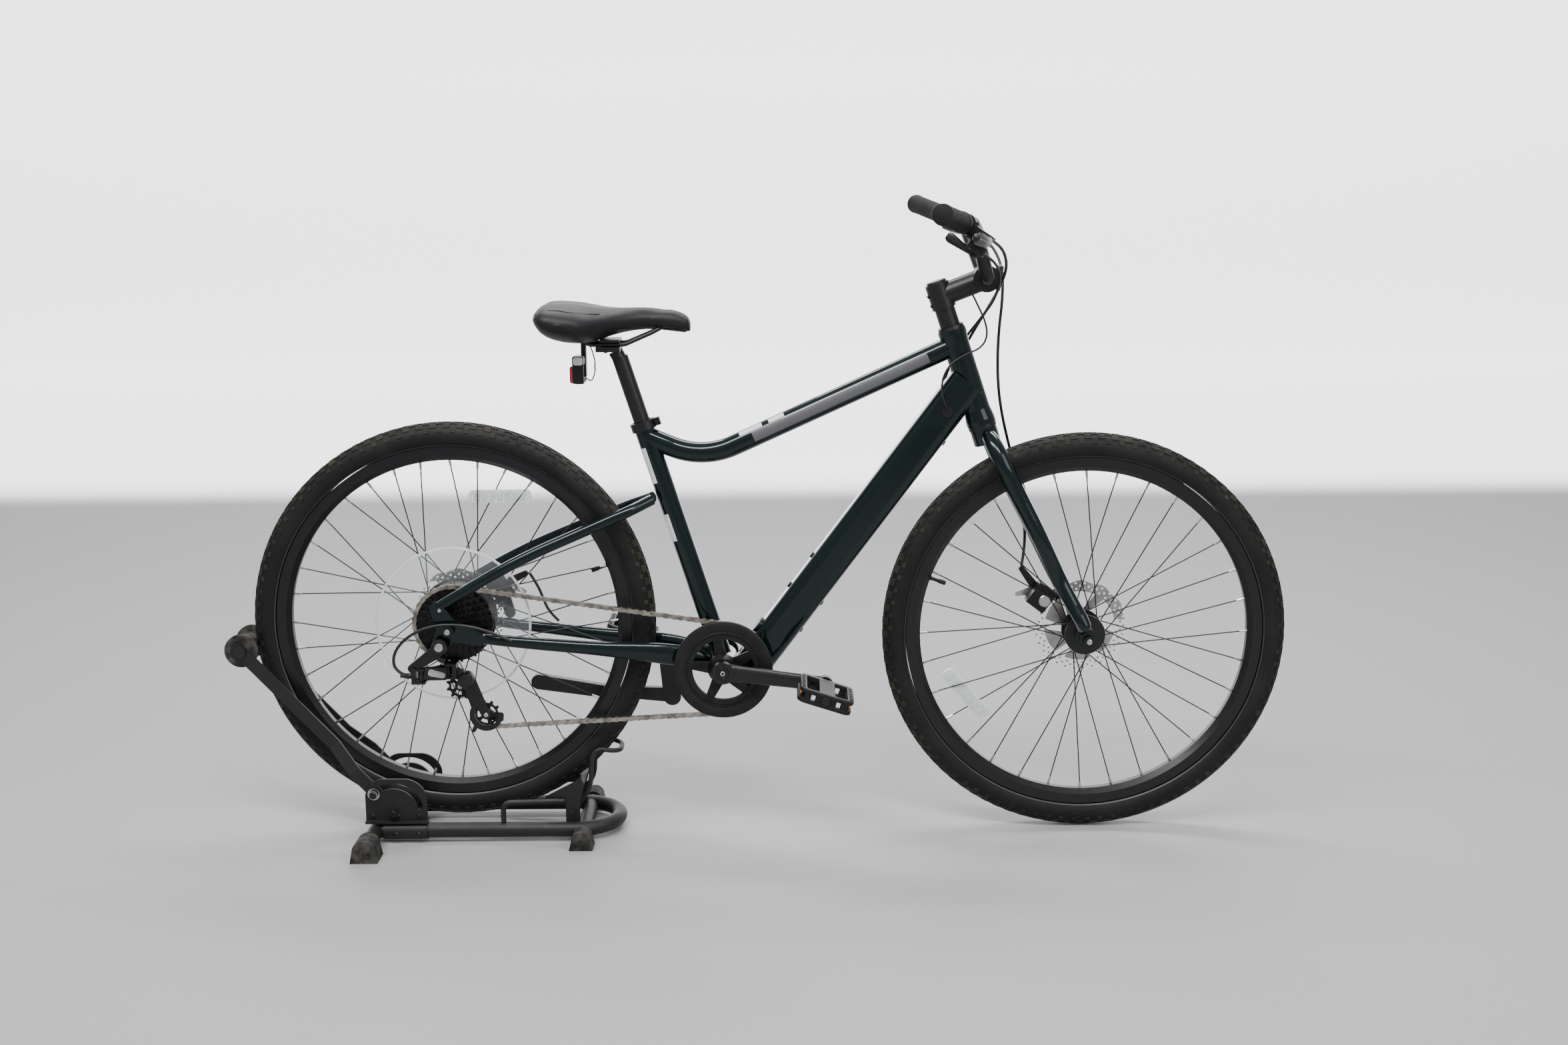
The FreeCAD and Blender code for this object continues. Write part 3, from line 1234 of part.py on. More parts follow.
front_caliper = caliper("front", (996, 391), (s.wheelbase, s.tyre_outer), s.front_rotor_y,
                        (29, 60), (964, 437), (991, 400), (958, 392), (1024, 392, 46, 56))
node("front_caliper", cut("front_caliper_seated", front_caliper,
                          fork_leg("front_caliper_seat", 1, s.seat_gap)))
node("rear_caliper", caliper("rear", (70.5, 414), (0, s.rear_axle_height), s.rear_rotor_y,
                             (39, 66), (112, 434), (76, 416), (108, 402), (84, 365.4, 57, 66)))


def housings():
    radius = 2.5
    left_exit = local(hand_frame(1), 29, 190.5, 0)
    right_exit = local(hand_frame(-1), 29, 190.5, 0)
    shift_exit = local(hand_frame(-1), shift_pivot[0], 203, -21)
    node("front_brake_housing", cord("front_brake_cord", [
        left_exit, at(890, 118, 1002), at(912, 86, 984), at(926, 60, 948), at(925, 47, 900),
        at(919, 43, 850), at(917, 43, 800), at(919, 46, 752), at(926, 52, 706),
        at(938, 62, 658), at(952, 74, 610), at(963, 79, 560), at(971, 77, 510),
        at(970, 69, 468), at(964, 58.5, 442.5)], radius))
    node("steering_housings",
         cord("rear_brake_cord_front", [
             right_exit, at(893, -116, 1001), at(913, -82, 984), at(922, -46, 955),
             at(914, -12, 922), at(897, 12, 886), at(877, 28, 850), at(858, 36, 814),
             at(843, 38, 778), at(833, 37, 748), at(829, 31.6, 727)], radius),
         cord("shift_cord_front", [
             shift_exit, at(881, -100, 979), at(903, -72, 962), at(913, -40, 936),
             at(905, -12, 900), at(884, 10, 868), at(860, 30, 834), at(843, 38, 801),
             at(829, 39.5, 768), at(821, 37, 738), at(820.5, 31.3, 716)], 2.2),
         cord("display_cord", [
             at(868, -24, 912), at(879, -26, 890), at(890, -28, 866), at(893, -29, 842),
             at(882, -30, 824), at(858, -31, 815), at(834, -33, 801), at(820, -35, 779),
             at(818, -36, 755), at(824, -34, 735), at(828, -30.1, 720)], 1.6))
    node("rear_housings",
         cord("derailleur_cord", [
             at(104, -70.8, 347), at(78, -75, 361), at(40, -80, 375), at(-4, -85, 381),
             at(-46, -87, 372), at(-78, -87, 350), at(-92, -87, 324), at(-87, -86.5, 301),
             at(-69.4, -86, 293.6)], radius),
         cord("rear_brake_cord_rear", [
             at(168, 57, 350.5), at(152, 58, 366), at(142, 60, 388), at(134, 61, 411),
             at(119.5, 62.5, 434)], radius))


housings()

# ---------------------------------------------------------------- seat

def seat():
    post_top = along_seat(0) + seat_line * ((812 - s.bracket_height) / seat_line.z)
    post = cylinder("post", "seatpost_radius", "seatpost_length",
                    post_top - seat_line * s.seatpost_length, seat_line)
    rail_z = 834.0
    gap = s.rail_radius + s.seat_gap
    neck = cylinder("post_neck", 12, 20, post_top - seat_line * 8, Vector(-0.55, 0, 1))
    cradle = box("post_cradle", 40, 56, 8, at(252, -28, rail_z - gap - 8))
    top_clamp = box("post_top_clamp", 32, 56, 4.5, at(259, -28, rail_z + gap))
    bolts = [cylinder(f"post_bolt_{index}", 3, 24, at(x, 0, rail_z - gap - 12))
             for index, x in enumerate((266, 284))]
    head = fuse("post_head", post, neck, cradle, top_clamp, *bolts)

    rows = [(151, 0, 877, 52, 9), (170, 0, 879, 84, 19), (200, 0, 873, 100, 31),
            (232, 0, 868.5, 94, 32), (262, 0, 869.5, 68, 26), (300, 0, 873.5, 38, 19.5),
            (345, 0, 875, 25, 17.5), (385, 0, 869, 22, 15), (410, 0, 860, 14, 8.5)]
    saddle = tapered("saddle_shell", [(at(x, y, z), FORWARD, wide, high)
                                      for x, y, z, wide, high in rows])
    node("saddle", saddle)

    rails = []
    for side in SIDES:
        route = [at(366, side * 10, 864), at(345, side * 14, 853), at(300, side * 21, rail_z),
                 at(244, side * 22, rail_z), at(205, side * 30, 850)]
        blank = rod(f"rail_blank_{side + 1}", route, s.rail_radius, 22)
        shade = tapered(f"rail_trim_{side + 1}", [(at(x, y, z), FORWARD, wide, high)
                                                  for x, y, z, wide, high in rows])
        rails.append(cut(f"rail_{side + 1}", blank, shade))
    node("seatpost", head, *rails)

    lamp = box("lamp_case", 18, 46, 44, at(213, -23, 770))
    bracket_arm = box("lamp_bracket", 8, 16, 70, at(226, -8, 780))
    shade = tapered("lamp_trim", [(at(x, y, z), FORWARD, wide, high)
                                  for x, y, z, wide, high in rows])
    wire_loop = cord("lamp_cord", [at(231.3, 12, 776), at(240, 12, 770), at(246, 12, 782),
                                   at(247, 12, 806), at(241, 12, 826), at(236, 12, 834)], 1.0)
    node("tail_light", cut("lamp_whole", fuse("lamp_blank", lamp, bracket_arm, wire_loop), shade))


def kickstand():
    x, z = kickstand_pivot
    leg = plate("kickstand_leg_plate", link_outline((x, z), 13, (232, 226), 8), 12, 52.3)
    foot = plate("kickstand_foot", link_outline((240, 225.5), 11, (130, 243), 13), 15, 51.3)
    bore = crosswise("kickstand_leg_bore", s.kickstand_pin_radius + s.fit_gap, x, z, 50, 66)
    node("kickstand_leg", cut("kickstand_leg_whole", fuse("kickstand_leg_blank", leg, foot), bore))


seat()
kickstand()

# ---------------------------------------------------------------- stand

arm_pivot = (-105.0, 52.0)
slot_radius = 46.0
support_rod = (205.0, 85.0)
hoop_pivot = (196.0, 46.0)
bracket_low = s.stand_leg_height + s.stand_tube_radius + 2.8


def stand_base():
    rear_x = -136.0
    y = s.stand_leg_y
    z = s.stand_leg_height
    front_x = 270.0
    run = [at(rear_x, -y, z), at(front_x, -y, z), at(front_x, y, z), at(rear_x, y, z)]
    outer = rod_shape(run, s.stand_tube_radius, y - 0.2)
    inner = rod_shape(run, s.stand_tube_radius - s.stand_tube_wall, y - 0.2)
    rear_cross = crosswise("rear_cross_tube", "stand_tube_radius", rear_x, z, -150, 150)
    u_tube = cut("u_tube", feature("u_tube_blank", outer.cut(inner)),
                 crosswise("u_tube_cope", "stand_tube_radius", rear_x, z, -150, 150))
    front_cross = cut("front_cross_tube",
                      crosswise("front_cross_blank", "stand_tube_radius", 215,
                                s.front_foot_radius, -105, 105),
                      feature("front_cross_cope", outer))
    pieces = [u_tube, rear_cross, front_cross]
    inner_face = 53.2
    outline = closed([(184, 12), (208, 12), (208, 62), (216, 92), (211, 103), (150, 72),
                      (150, 61), (184, 61)])
    pivot_hole = hole(hoop_pivot[0], hoop_pivot[1], s.hoop_radius + 0.1)
    for side in SIDES:
        near = both_sides(inner_face, s.stand_plate)[side]
        gusset = plate(f"gusset_{side + 1}", outline + [pivot_hole], "stand_plate", near)
        pieces.append(cut(f"gusset_seated_{side + 1}", gusset,
                          feature(f"gusset_cope_{side + 1}", outer.copy()),
                          crosswise(f"gusset_cope_low_{side + 1}", "stand_tube_radius", 215,
                                    s.front_foot_radius, -105, 105)))
        brace_y = side * (inner_face + s.stand_plate + s.seat_gap + 4.5)
        pieces.append(rod(f"brace_{side + 1}", [at(80, side * y, z + s.stand_tube_radius + 0.2),
                                                at(80, side * y, 66), at(183, brace_y, 66)], 4.5, 12))
    pieces.append(crosswise("support_rod", 8.0, support_rod[0], support_rod[1],
                            -inner_face, inner_face))
    node("stand_base", *pieces)


def stand_feet():
    feet = []
    for name, x, radius, tube_end, out in (("front", 215, "front_foot_radius", 105, 125),
                                           ("rear", -136, "rear_foot_radius", 150, 178)):
        height = s.front_foot_radius if name == "front" else s.stand_leg_height
        reach = amount(radius)
        sole = closed([(x - reach - s.foot_flare, 0), (x + reach + s.foot_flare, 0),
                       (x + reach, height), (x - reach, height)])
        for side in SIDES:
            low_y = min(side * (tube_end - 18), side * out)
            block = fuse(f"{name}_foot_{side + 1}",
                         crosswise(f"{name}_cap_round_{side + 1}", radius, x, height,
                                   side * (tube_end - 18), side * out),
                         plate(f"{name}_sole_{side + 1}", sole, out - tube_end + 18, low_y))
            bore = crosswise(f"{name}_foot_bore_{side + 1}", s.stand_tube_radius + s.fit_gap, x,
                             height, side * (tube_end - 20), side * (tube_end + s.seat_gap))
            feet.append(cut(f"{name}_cap_{side + 1}", block, bore))
    node("stand_feet", *feet)


def slot_outline(half_width, from_angle, to_angle):
    def rim(distance, angle):
        return Vector(arm_pivot[0] + distance * math.cos(math.radians(angle)),
                      arm_pivot[1] + distance * math.sin(math.radians(angle)), 0)
    big, small = slot_radius + half_width, slot_radius - half_width
    middle = (from_angle + to_angle) / 2
    over = math.degrees(half_width / slot_radius)
    return [Part.Arc(rim(big, from_angle), rim(big, middle), rim(big, to_angle)),
            Part.Arc(rim(big, to_angle), rim(slot_radius, to_angle + over), rim(small, to_angle)),
            Part.Arc(rim(small, to_angle), rim(small, middle), rim(small, from_angle)),
            Part.Arc(rim(small, from_angle), rim(slot_radius, from_angle - over),
                     rim(big, from_angle))]


arm_angle = math.degrees(math.atan2(s.roller_height - arm_pivot[1], -s.roller_x - arm_pivot[0]))
slot_bolt = ring_points(slot_radius, (arm_angle,), arm_pivot)[0]


def stand_brackets():
    pieces = []
    low = bracket_low
    for side in SIDES:
        near = both_sides(s.stand_leg_y, s.stand_plate)[side]
        corners = [Vector(x, z, 0) for x, z in ((-152, low), (-152, 82), (-143, 100), (-122, 110),
                                                (-84, 110), (-60, 100), (-48, 78), (-48, low))]
        outline = [Part.LineSegment(corners[0], corners[1]),
                   Part.Arc(corners[1], corners[2], corners[3]),
                   Part.LineSegment(corners[3], corners[4]),
                   Part.Arc(corners[4], corners[5], corners[6]),
                   Part.LineSegment(corners[6], corners[7]),
                   Part.LineSegment(corners[7], corners[0])]
        outline += slot_outline(5.0, 12, arm_angle)
        outline.append(hole(arm_pivot[0], arm_pivot[1], 5 + s.fit_gap))
        side_plate = plate(f"bracket_plate_{side + 1}", outline, "stand_plate", near)
        flange = box(f"bracket_flange_{side + 1}", 104, 26, s.stand_plate,
                     at(-152, side * s.stand_leg_y - 13, low))
        sleeve = cut(f"sleeve_{side + 1}",
                     cylinder(f"sleeve_outer_{side + 1}", s.stand_tube_radius + 2.5, 74,
                              at(-122, side * s.stand_leg_y, s.stand_leg_height), FORWARD),
                     cylinder(f"sleeve_bore_{side + 1}", s.stand_tube_radius + s.fit_gap, 76,
                              at(-123, side * s.stand_leg_y, s.stand_leg_height), FORWARD))
        pieces += [fuse(f"bracket_{side + 1}", side_plate, flange), sleeve]
        arm_inner = s.stand_leg_y - s.seat_gap - s.stand_plate
        face = s.stand_leg_y + s.stand_plate
        for index, (x, z) in enumerate((arm_pivot, slot_bolt)):
            shank = crosswise(f"shank_{side + 1}_{index}", 5, x, z, side * (arm_inner - 1),
                              side * (face + 7))
            washer = crosswise(f"washer_{side + 1}_{index}", 10, x, z,
                               side * (face + s.fit_gap), side * (face + 2))
            head = crosswise(f"head_{side + 1}_{index}", 7.5, x, z, side * (face + 2),
                             side * (face + 7))
            pieces.append(fuse(f"bolt_{side + 1}_{index}", shank, washer, head))
    node("stand_brackets", *pieces)


def stand_arms():
    roller = at(-s.roller_x, 0, s.roller_height)
    foot = at(arm_pivot[0], 0, arm_pivot[1])
    run = (roller - foot).normalize()
    wide = run.cross(ACROSS).normalize() * 11
    reach = (roller - foot).Length
    pieces = []
    low_y = s.stand_leg_y - s.seat_gap - s.stand_plate / 2
    for side in SIDES:
        sections = []
        for along, y in ((-7, low_y), (95, low_y), (150, 42), (reach + 14, 42)):
            centre = foot + run * along + ACROSS * side * y
            half = ACROSS * s.stand_plate / 2
            corners = [centre - wide - half, centre + wide - half, centre + wide + half,
                       centre - wide + half]
            sections.append(Part.makePolygon(corners + corners[:1]))
        bar = feature(f"arm_bar_{side + 1}", Part.makeLoft(sections, True, True))
        holes = [crosswise(f"arm_hole_{side + 1}_{index}", 5 + s.fit_gap, x, z,
                           side * (low_y - 10), side * (low_y + 10))
                 for index, (x, z) in enumerate((arm_pivot, slot_bolt))]
        holes.append(crosswise(f"arm_rod_hole_{side + 1}", s.roller_rod, -s.roller_x,
                               s.roller_height, side * 38, side * 46))
        pieces.append(cut(f"arm_{side + 1}", bar, *holes))
    rod_piece = crosswise("roller_rod_bar", "roller_rod", -s.roller_x, s.roller_height, -46, 46)
    nuts = [crosswise(f"roller_nut_{index}", 10, -s.roller_x, s.roller_height, side * 44,
                      side * 50) for index, side in enumerate(SIDES)]
    node("stand_arms", fuse("stand_arms_whole", rod_piece, *pieces, *nuts))

    hub_distance = math.hypot(s.roller_x, s.rear_axle_height - s.roller_height)
    core = hub_distance - s.tyre_outer - s.seat_gap
    bore = s.roller_rod + s.fit_gap
    profile = [(bore, -38.0), ("roller_flange", -38.0), ("roller_flange", -31.0), (core, -27.0),
               (core, 27.0), ("roller_flange", 31.0), ("roller_flange", 38.0), (bore, 38.0)]
    node("stand_roller", turned("roller_body", profile, roller))


def stand_hoop():
    half = [at(hoop_pivot[0], -62, hoop_pivot[1]), at(hoop_pivot[0], -42, hoop_pivot[1]),
            at(224, -34, 76), at(229, -31, 150), at(276, -31, 142)]
    other = [Vector(point.x, -point.y, point.z) for point in reversed(half)]
    radius = s.hoop_radius
    node("stand_hoop", rod("hoop_rod", half + other, radius))


stand_base()
stand_feet()
stand_brackets()
stand_arms()
stand_hoop()

# ---------------------------------------------------------------- write

doc.recompute()
faults = [item.Label for item in doc.Objects if {"Invalid", "Error"} & set(item.State)]
for label, item in nodes.items():
    shape = item.Shape
    if shape.isNull() or not shape.isValid() or not shape.Solids:
        faults.append(label)
if faults:
    raise RuntimeError("failed pieces: " + ", ".join(faults))

os.makedirs("parts", exist_ok=True)
for label, item in nodes.items():
    item.Shape.exportStep(f"parts/{label}.step")
print(len(nodes), "sub-parts written")
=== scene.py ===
import math

import bmesh
import bpy
from mathutils import Matrix, Vector


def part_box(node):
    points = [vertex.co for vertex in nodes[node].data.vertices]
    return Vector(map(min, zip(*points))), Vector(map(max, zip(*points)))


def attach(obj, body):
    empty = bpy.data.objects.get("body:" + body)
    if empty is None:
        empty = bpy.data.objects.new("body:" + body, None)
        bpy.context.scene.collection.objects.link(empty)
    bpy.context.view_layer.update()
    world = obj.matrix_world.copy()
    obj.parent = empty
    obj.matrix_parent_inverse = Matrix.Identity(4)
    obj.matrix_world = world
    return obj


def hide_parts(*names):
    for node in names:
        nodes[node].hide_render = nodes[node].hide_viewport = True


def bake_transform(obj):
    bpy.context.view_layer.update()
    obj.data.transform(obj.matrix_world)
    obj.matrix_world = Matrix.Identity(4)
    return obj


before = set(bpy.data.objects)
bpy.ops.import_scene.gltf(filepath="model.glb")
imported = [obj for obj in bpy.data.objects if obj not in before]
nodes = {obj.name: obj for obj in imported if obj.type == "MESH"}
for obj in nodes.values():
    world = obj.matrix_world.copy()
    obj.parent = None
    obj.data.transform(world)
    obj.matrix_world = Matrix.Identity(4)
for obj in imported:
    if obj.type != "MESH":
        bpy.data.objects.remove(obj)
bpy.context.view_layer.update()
print("frame loaded:", len(nodes), "nodes")

across = Vector((0, 1, 0))


# ---- where things are

def centreOf(node):
    low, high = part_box(node)
    return (low + high) / 2


rearX = centreOf("rear_axle").x


def at(x, y, z):
    # millimetres from the rear axle, the middle plane and the floor
    return Vector((rearX + x / 1000, y / 1000, z / 1000))


frontHub = centreOf("front_axle")
rearHub = centreOf("rear_axle")
crankHub = centreOf("bottom_bracket_shell")
tyreRadius = (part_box("front_tyre")[1].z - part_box("front_tyre")[0].z) / 2


# ---- small helpers

def deselectAll():
    if bpy.context.mode != "OBJECT":
        bpy.ops.object.mode_set(mode="OBJECT")
    bpy.ops.object.select_all(action="DESELECT")


def pick(piece):
    deselectAll()
    piece.select_set(True)
    bpy.context.view_layer.objects.active = piece


def applyModifiers(piece):
    pick(piece)
    for modifier in list(piece.modifiers):
        bpy.ops.object.modifier_apply(modifier=modifier.name)


def settle(piece):
    # put the piece's place into its mesh
    pick(piece)
    bpy.ops.object.transform_apply(location=True, rotation=True, scale=True)


def addBevel(piece, width, segments=2, angle=35):
    bevel = piece.modifiers.new("edges", "BEVEL")
    bevel.width = width
    bevel.segments = segments
    bevel.limit_method = "ANGLE"
    bevel.angle_limit = math.radians(angle)
    applyModifiers(piece)


def smooth(piece, angle=35):
    pick(piece)
    bpy.ops.object.shade_smooth_by_angle(angle=math.radians(angle))


def tidyNormals(piece):
    pick(piece)
    bpy.ops.object.mode_set(mode="EDIT")
    bpy.ops.mesh.select_all(action="SELECT")
    bpy.ops.mesh.remove_doubles(threshold=0.00001)
    bpy.ops.mesh.normals_make_consistent(inside=False)
    bpy.ops.object.mode_set(mode="OBJECT")


def join(pieces, name):
    deselectAll()
    for piece in pieces:
        piece.select_set(True)
    bpy.context.view_layer.objects.active = pieces[0]
    if len(pieces) > 1:
        bpy.ops.object.join()
    pieces[0].name = name
    return pieces[0]


def copyOf(piece, name, change=None):
    twin = piece.copy()
    twin.data = piece.data.copy()
    twin.name = name
    twin.hide_viewport = False
    twin.hide_render = False
    bpy.context.scene.collection.objects.link(twin)
    if change is not None:
        twin.data.transform(change)
        if change.determinant() < 0:
            twin.data.flip_normals()
    return twin


def finishPiece(piece, material, body, slotName, *replaced):
    settle(piece)
    if material is not None:
        piece.data.materials.clear()
        piece.data.materials.append(material)
    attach(piece, body)
    if replaced:
        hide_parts(*replaced)
    return piece


def turned(name, profile, centre, axis=across, steps=64, angle=2 * math.pi):
    # an outline of (radius, along) in millimetres, spun round the axis
    curve = bpy.data.curves.new(name, "CURVE")
    curve.dimensions = "3D"
    line = curve.splines.new("POLY")
    line.points.add(len(profile) - 1)
    for point, (radius, along) in zip(line.points, profile):
        point.co = (radius / 1000, along / 1000, 0, 1)
    piece = bpy.data.objects.new(name, curve)
    bpy.context.scene.collection.objects.link(piece)
    pick(piece)
    bpy.ops.object.convert(target="MESH")
    piece = bpy.context.object
    bpy.ops.object.mode_set(mode="EDIT")
    bpy.ops.mesh.select_all(action="SELECT")
    bpy.ops.mesh.spin(steps=steps, angle=angle, center=(0, 0, 0), axis=(0, 1, 0))
    bpy.ops.mesh.select_all(action="SELECT")
    bpy.ops.mesh.remove_doubles(threshold=0.00001)
    bpy.ops.mesh.normals_make_consistent(inside=False)
    bpy.ops.object.mode_set(mode="OBJECT")
    turn = across.rotation_difference(Vector(axis)).to_matrix().to_4x4()
    piece.data.transform(Matrix.Translation(centre) @ turn)
    smooth(piece)
    return piece


def block(name, size, centre, turn=None, bevel=0.0, segments=2):
    # box sized in millimetres, its edges rounded
    deselectAll()
    bpy.ops.mesh.primitive_cube_add(size=1)
    piece = bpy.context.object
    piece.name = name
    piece.data.transform(Matrix.Diagonal((*[s / 1000 for s in size], 1)))
    if bevel:
        addBevel(piece, bevel / 1000, segments)
    place = Matrix.Translation(centre)
    if turn is not None:
        place = place @ turn.to_4x4()
    piece.data.transform(place)
    smooth(piece)
    return piece


def sheetShape(name, outlines, thickness, place, bevel=0.0):
    # flat outlines in millimetres; the ones inside the first are holes
    curve = bpy.data.curves.new(name, "CURVE")
    curve.dimensions = "2D"
    curve.fill_mode = "BOTH"
    curve.extrude = thickness / 2000
    curve.bevel_depth = bevel / 1000
    curve.bevel_resolution = 1
    for outline in outlines:
        line = curve.splines.new("POLY")
        line.points.add(len(outline) - 1)
        for point, (x, y) in zip(line.points, outline):
            point.co = (x / 1000, y / 1000, 0, 1)
        line.use_cyclic_u = True
    piece = bpy.data.objects.new(name, curve)
    bpy.context.scene.collection.objects.link(piece)
    pick(piece)
    bpy.ops.object.convert(target="MESH")
    piece = bpy.context.object
    piece.data.transform(place)
    tidyNormals(piece)
    smooth(piece)
    return piece


def strapOutline(start, startRadius, end, endRadius, steps=10):
    # two round ends joined by straight sides
    run = Vector(end) - Vector(start)
    heading = math.atan2(run.y, run.x)
    lean = math.acos((startRadius - endRadius) / run.length)
    outline = []
    for centre, radius, first, sweep in (
            (end, endRadius, heading - lean, 2 * lean),
            (start, startRadius, heading + lean, 2 * (math.pi - lean))):
        for step in range(steps + 1):
            turn = first + sweep * step / steps
            outline.append((centre[0] + radius * math.cos(turn),
                            centre[1] + radius * math.sin(turn)))
    return outline


def arcOutline(inner, outer, first, last, steps=30):
    outline = []
    for radius, begin, finish in ((outer, first, last), (inner, last, first)):
        for step in range(steps + 1):
            turn = math.radians(begin + (finish - begin) * step / steps)
            outline.append((radius * math.cos(turn), radius * math.sin(turn)))
    return outline


def ringOutline(radius, count=24, centre=(0, 0), wave=0.0, waves=0):
    points = []
    for step in range(count):
        turn = 2 * math.pi * step / count
        reach = radius + wave * math.cos(waves * turn)
        points.append((centre[0] + reach * math.cos(turn),
                       centre[1] + reach * math.sin(turn)))
    return points


def roundedOutline(long, wide, corner, steps=4):
    outline = []
    for sx, sy, start in ((1, 1, 0), (-1, 1, 90), (-1, -1, 180), (1, -1, 270)):
        for step in range(steps + 1):
            turn = math.radians(start + step * 90 / steps)
            outline.append((sx * (long / 2 - corner) + corner * math.cos(turn),
                            sy * (wide / 2 - corner) + corner * math.sin(turn)))
    return outline


def bareCurve(name, points):
    # a smooth curve with these control points, in metres, without thickness yet
    curve = bpy.data.curves.new(name, "CURVE")
    curve.dimensions = "3D"
    curve.resolution_u = 8
    curve.use_fill_caps = True
    line = curve.splines.new("NURBS")
    line.points.add(len(points) - 1)
    for point, place in zip(line.points, points):
        point.co = (*place, 1)
    line.order_u = 3
    line.use_endpoint_u = True
    piece = bpy.data.objects.new(name, curve)
    bpy.context.scene.collection.objects.link(piece)
    return piece


def thicken(piece, radius, resolution):
    # a bare curve becomes a round mesh tube, its radius in millimetres
    piece.data.bevel_depth = radius / 1000
    piece.data.bevel_resolution = resolution
    pick(piece)
    bpy.ops.object.convert(target="MESH")
    piece = bpy.context.object
    smooth(piece, 60)
    return piece


def onCircle(centre, radius, turn, y):
    # a place in metres on a circle round an axle
    return Vector((centre.x + radius * math.cos(turn), y, centre.z + radius * math.sin(turn)))


def aroundWheel(piece, count, centre, axis=across):
    # repeat what the piece holds around a wheel's axle
    pick(piece)
    bpy.ops.object.mode_set(mode="EDIT")
    bpy.ops.mesh.select_all(action="SELECT")
    bpy.ops.mesh.spin(steps=count, dupli=True, angle=2 * math.pi,
                      center=centre, axis=axis)
    bpy.ops.mesh.select_all(action="SELECT")
    bpy.ops.mesh.remove_doubles(threshold=0.000001)
    bpy.ops.object.mode_set(mode="OBJECT")
    return piece


uprightPlane = Matrix(((1, 0, 0, 0), (0, 0, -1, 0), (0, 1, 0, 0), (0, 0, 0, 1)))


def upright(centre, tilt=0.0):
    # carries a flat outline's (x, y) to (x, z) at a place, turned by tilt degrees
    return (Matrix.Translation(centre) @ uprightPlane
            @ Matrix.Rotation(math.radians(tilt), 4, "Z"))


# ---- materials

class Recipe:
    # a material's nodes, added from left to right
    def __init__(self, name, color, roughness, metallic=0.0):
        self.material = bpy.data.materials.new(name)
        self.material.use_nodes = True
        self.tree = self.material.node_tree
        self.shader = self.tree.nodes["Principled BSDF"]
        self.set("Base Color", (*color, 1))
        self.set("Roughness", roughness)
        self.set("Metallic", metallic)
        self.color = color
        self.coords = self.tree.nodes.new("ShaderNodeTexCoord")

    def set(self, socket, value):
        self.shader.inputs[socket].default_value = value
        return self

    def link(self, source, target):
        self.tree.links.new(source, target)

    def spaced(self, stretch=(1, 1, 1)):
        mapping = self.tree.nodes.new("ShaderNodeMapping")
        mapping.inputs["Scale"].default_value = stretch
        self.link(self.coords.outputs["Object"], mapping.inputs["Vector"])
        return mapping.outputs["Vector"]

    def noise(self, scale, detail=3.0, stretch=(1, 1, 1)):
        noise = self.tree.nodes.new("ShaderNodeTexNoise")
        noise.inputs["Scale"].default_value = scale
        noise.inputs["Detail"].default_value = detail
        self.link(self.spaced(stretch), noise.inputs["Vector"])
        return noise.outputs["Fac"]

    def cells(self, scale):
        cells = self.tree.nodes.new("ShaderNodeTexVoronoi")
        cells.inputs["Scale"].default_value = scale
        self.link(self.spaced(), cells.inputs["Vector"])
        return cells.outputs["Distance"]

    def ramp(self, source, low, high, start=0.35, end=0.65):
        ramp = self.tree.nodes.new("ShaderNodeValToRGB")
        ramp.color_ramp.elements[0].position = start
        ramp.color_ramp.elements[1].position = end
        ramp.color_ramp.elements[0].color = (*low, 1)
        ramp.color_ramp.elements[1].color = (*high, 1)
        self.link(source, ramp.inputs["Fac"])
        return ramp.outputs["Color"]

    def mixed(self, low, high, share):
        mix = self.tree.nodes.new("ShaderNodeMix")
        mix.data_type = "RGBA"
        self.link(share, mix.inputs["Factor"])
        for socket, source in ((mix.inputs[6], low), (mix.inputs[7], high)):
            if isinstance(source, tuple):
                socket.default_value = (*source, 1)
            else:
                self.link(source, socket)
        return mix.outputs[2]

    def tint(self, source):
        self.link(source, self.shader.inputs["Base Color"])
        return self

    def mottle(self, scale, amount):
        # a little lighter and darker than the base colour
        dark = tuple(c * (1 - amount) for c in self.color)
        light = tuple(min(1, c * (1 + amount)) for c in self.color)
        return self.tint(self.ramp(self.noise(scale, 4.0), dark, light))

    def rough(self, scale, low, high, stretch=(1, 1, 1)):
        spread = self.tree.nodes.new("ShaderNodeMapRange")
        spread.inputs["To Min"].default_value = low
        spread.inputs["To Max"].default_value = high
        self.link(self.noise(scale, 4.0, stretch), spread.inputs["Value"])
        self.link(spread.outputs["Result"], self.shader.inputs["Roughness"])
        return self

    def bump(self, source, strength, distance):
        bump = self.tree.nodes.new("ShaderNodeBump")
        bump.inputs["Strength"].default_value = strength
        bump.inputs["Distance"].default_value = distance
        earlier = self.shader.inputs["Normal"].links
        if earlier:
            self.link(earlier[0].from_socket, bump.inputs["Normal"])
        self.link(source, bump.inputs["Height"])
        self.link(bump.outputs["Normal"], self.shader.inputs["Normal"])
        return self

    def facing(self, direction, low, high):
        # 1 where the surface faces a direction, such as up for dust
        geometry = self.tree.nodes.new("ShaderNodeNewGeometry")
        dot = self.tree.nodes.new("ShaderNodeVectorMath")
        dot.operation = "DOT_PRODUCT"
        dot.inputs[1].default_value = direction
        self.link(geometry.outputs["Normal"], dot.inputs[0])
        spread = self.tree.nodes.new("ShaderNodeMapRange")
        spread.inputs["From Min"].default_value = low
        spread.inputs["From Max"].default_value = high
        self.link(dot.outputs["Value"], spread.inputs["Value"])
        return spread.outputs["Result"]


